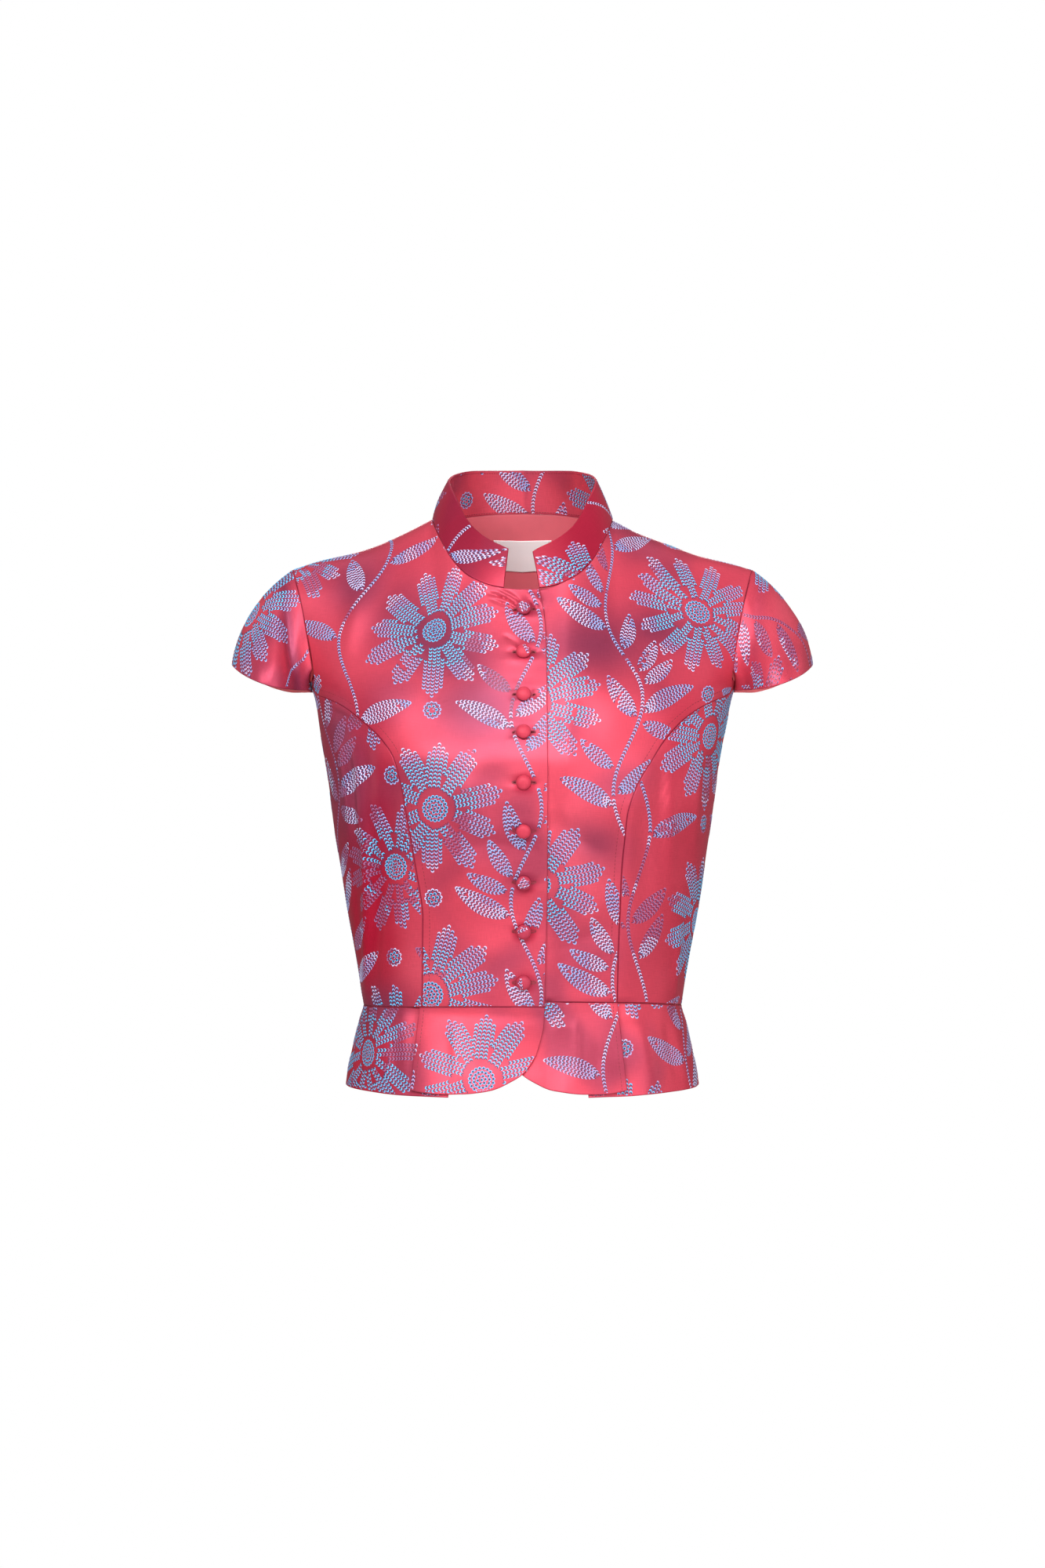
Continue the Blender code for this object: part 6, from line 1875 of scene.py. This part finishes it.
def build_buttons():
    rings = np.array([(0.0, 1.0), (0.16, 0.995), (0.33, 0.975), (0.50, 0.93), (0.66, 0.86), (0.80, 0.755), (0.90, 0.65),
                      (0.965, 0.53), (0.995, 0.41), (1.0, 0.34), (0.985, 0.26), (0.94, 0.20), (0.80, 0.16), (0.36, 0.14),
                      (0.34, 0.0)])
    count = 32
    around = np.arange(count) * 2 * np.pi / count
    for k, z in enumerate(BUTTON_Z):
        at, out = button_place(z)
        across = unit(np.cross((0, 0, 1.0), out))
        up = np.cross(out, across)
        radius = rings[:, :1] * BUTTON_RADIUS
        high = rings[:, 1] * BUTTON_HEIGHT
        # the covering's slight unevenness
        dent = 1 + 0.010 * np.sin(3 * around[None] + k * 1.9) * rings[:, :1] + 0.008 * np.sin(5 * around[None] + k)
        px, py = radius * np.cos(around) * dent, radius * np.sin(around) * dent
        points = at + out * 0.0005 + px[..., None] * across + py[..., None] * up + (high[:, None] + 0 * px)[..., None] * out
        faces = grid_faces(len(rings), count)
        # close each ring
        j = np.arange(len(rings) - 1)
        wrapped = np.stack([j * count + count - 1, (j + 1) * count + count - 1, (j + 1) * count, j * count], -1)
        faces = np.concatenate([faces, wrapped])
        tris = np.concatenate([faces[:, [0, 1, 2]], faces[:, [0, 2, 3]]])
        flatp = points.reshape(-1, 3)
        area = np.linalg.norm(np.cross(flatp[tris[:, 1]] - flatp[tris[:, 0]], flatp[tris[:, 2]] - flatp[tris[:, 0]]), axis=1)
        tris = tris[area > 1e-14]
        foot = np.arange(count) + (len(rings) - 1) * count
        fan = np.stack([np.full(count, len(flatp)), foot, np.roll(foot, -1)], -1)
        flatp = np.vstack([flatp, at + out * 0.0005])
        tris = np.concatenate([tris, fan])
        a, b, c = (flatp[tris[:, n]] for n in range(3))
        middle = at + out * BUTTON_HEIGHT * 0.45
        turned = (np.cross(b - a, c - a) * ((a + b + c) / 3 - middle)).sum(1) < 0
        tris[turned] = tris[turned][:, ::-1]
        item = mesh_object(f"button_{k + 1}_covered", flatp, tris, [BUTTON_SATIN])
        flat_xy = np.vstack([np.stack([px, py], -1).reshape(-1, 2), (0, 0)])
        add_attribute(item, "cloth", np.hstack([flat_xy + k * 0.013, np.zeros((len(flat_xy), 1))]))
        # painted contact shade darkening each button toward its foot, and purple painted shade and sheen with a light
        # share of deep red shade over it
        add_attribute(item, "seam", np.clip(1 - (flatp - at) @ out / 0.0022, 0, 1))
        plum = np.full(len(flatp), 0.5 if k == 0 else (0.35 if BUTTON_MARKS[k] > 0.4 else 0.05))
        write_painted_light(item, plum, np.full(len(flatp), 0.15), np.zeros(len(flatp)))
        settle_in(item)
        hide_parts(f"button_{k + 1}")
        if BUTTON_MARKS[k]:
            grid = np.linspace(-0.92, 0.92, 25)
            gx, gy = np.meshgrid(grid, grid, indexing="ij")
            r = np.hypot(gx, gy)
            squash = np.where(r > 1e-9, np.maximum(np.abs(gx), np.abs(gy)) / np.maximum(r, 1e-9), 1)
            gx, gy = gx * squash, gy * squash
            r = np.hypot(gx, gy)
            h = np.interp(r, rings[:10, 0], rings[:10, 1]) * BUTTON_HEIGHT
            top = at + out * 0.0005 + (gx * BUTTON_RADIUS)[..., None] * across + (gy * BUTTON_RADIUS)[..., None] * up + h[..., None] * out
            n = grid_normals(top)
            n = np.where((n * out).sum(-1, keepdims=True) < 0, -n, n)
            patch_piece = (top, n, np.stack([gx, gy], -1) * BUTTON_RADIUS + (0.1875 + 0.019 * k, 0.131 + 0.027 * k))
            patch_piece = (top, n, np.stack([gx, gy], -1) * BUTTON_RADIUS)
            marks = button_marks(f"button_{k + 1}_woven", patch_piece, BUTTON_MARKS[k], 0.7 + 1.3 * k)
            settle_in(marks)


def button_marks(name, piece, share, turn):
    """Rows of marks over one share of a button's top."""
    spots, ways = [], []
    c, s = math.cos(turn), math.sin(turn)
    for row in range(-3, 4):
        for k in range(-3, 4):
            a, b = (k + 0.5 * (row % 2)) * 0.0025, row * 0.0027 + 0.0006
            if math.hypot(a, b) < BUTTON_RADIUS * 0.86 and b < (2 * share - 1) * BUTTON_RADIUS:
                spots.append((a * c - b * s, a * s + b * c))
                ways.append(turn + 0.15 * math.sin(row * 2.0 + k))
    tree = tree_of(piece)
    parts = []
    for shape, dark in ((MARK, False), (MARK_DARK, True)):
        out, faces, copy = lay(piece, tree, spots, ways, shape, size=0.86)
        tone = np.where(np.arange(len(spots)) % 5 == 2, LILAC, PALE)[copy] if len(copy) else np.zeros(0, int)
        parts.append((out, faces, np.full(len(faces), DARK) if dark else tone))
    return join(name, parts, THREAD)


build_body()
build_peplum()
build_sleeves()
build_collar()
build_inside()
build_buttons()

# ================================================================ studio
scene = bpy.context.scene


def lamp(name, at, aim, size, power, colour=(1, 1, 1)):
    light = bpy.data.lights.new(name, "AREA")
    light.shape = "RECTANGLE"
    light.size, light.size_y = size
    light.energy = power
    light.color = colour
    item = bpy.data.objects.new(name, light)
    item.location = at
    item.rotation_euler = (Vector(aim) - Vector(at)).to_track_quat("-Z", "Y").to_euler()
    scene.collection.objects.link(item)


lamp("key", (-1.3, -2.3, 0.95), (0, 0, -0.24), (0.9, 0.9), 35)
lamp("fill", (1.6, -2.3, 0.05), (0, 0, -0.25), (1.1, 1.4), 27)
lamp("low", (0.0, -2.9, -1.05), (0, 0, -0.30), (1.6, 0.8), 14)
lamp("inside", (0.0, -1.6, 0.75), (0, 0.05, -0.02), (0.5, 0.3), 18)
lamp("above", (0.0, 0.2, 1.9), (0, 0, -0.2), (1.2, 1.0), 12)
lamp("rim_left", (-1.9, 0.1, 0.1), (0, 0, -0.25), (0.6, 1.6), 5)
lamp("rim_right", (1.9, 0.1, 0.1), (0, 0, -0.25), (0.6, 1.6), 5.5)
lamp("behind", (0.0, 2.6, 0.6), (0, 0, -0.25), (1.0, 1.0), 22)

world = bpy.data.worlds.new("studio")
scene.world = world
world.use_nodes = True
tree = world.node_tree
tree.nodes.clear()
seen = tree.nodes.new("ShaderNodeBackground")
seen.inputs["Color"].default_value = (1, 1, 1, 1)
seen.inputs["Strength"].default_value = 1.0
lit = tree.nodes.new("ShaderNodeBackground")
lit.inputs["Color"].default_value = (0.97, 0.98, 1, 1)
lit.inputs["Strength"].default_value = 0.17
path = tree.nodes.new("ShaderNodeLightPath")
mix = tree.nodes.new("ShaderNodeMixShader")
out = tree.nodes.new("ShaderNodeOutputWorld")
tree.links.new(path.outputs["Is Camera Ray"], mix.inputs[0])
tree.links.new(lit.outputs[0], mix.inputs[1])
tree.links.new(seen.outputs[0], mix.inputs[2])
tree.links.new(mix.outputs[0], out.inputs["Surface"])

floor_finish, floor_tree, floor_shader = finish_of("studio_floor", (0.86, 0.86, 0.86), 0.85, grain=(6.0, 0.02, 0.001))
floor = mesh_object("studio_floor", [(-1.6, -1.5, -1.35), (1.6, -1.5, -1.35), (1.6, 1.5, -1.35), (-1.6, 1.5, -1.35)],
                    [(0, 1, 2, 3)], [floor_finish], smooth=False)

scene.view_settings.view_transform = "Standard"
scene.view_settings.look = "None"

camera = bpy.data.cameras.new("camera")
camera.sensor_width = 36.0
camera.lens = 73.116
camera.clip_start, camera.clip_end = 0.05, 50
eye = bpy.data.objects.new("camera", camera)
eye.location = (0, -2.6, -0.2157)
eye.rotation_euler = (math.pi / 2, 0, 0)
scene.collection.objects.link(eye)
scene.camera = eye

total = 0
for item in made:
    item.data.calc_loop_triangles()
    count = len(item.data.loop_triangles)
    total += count
    if count > 12000:
        print(item.name, count)
print("triangles added", total)
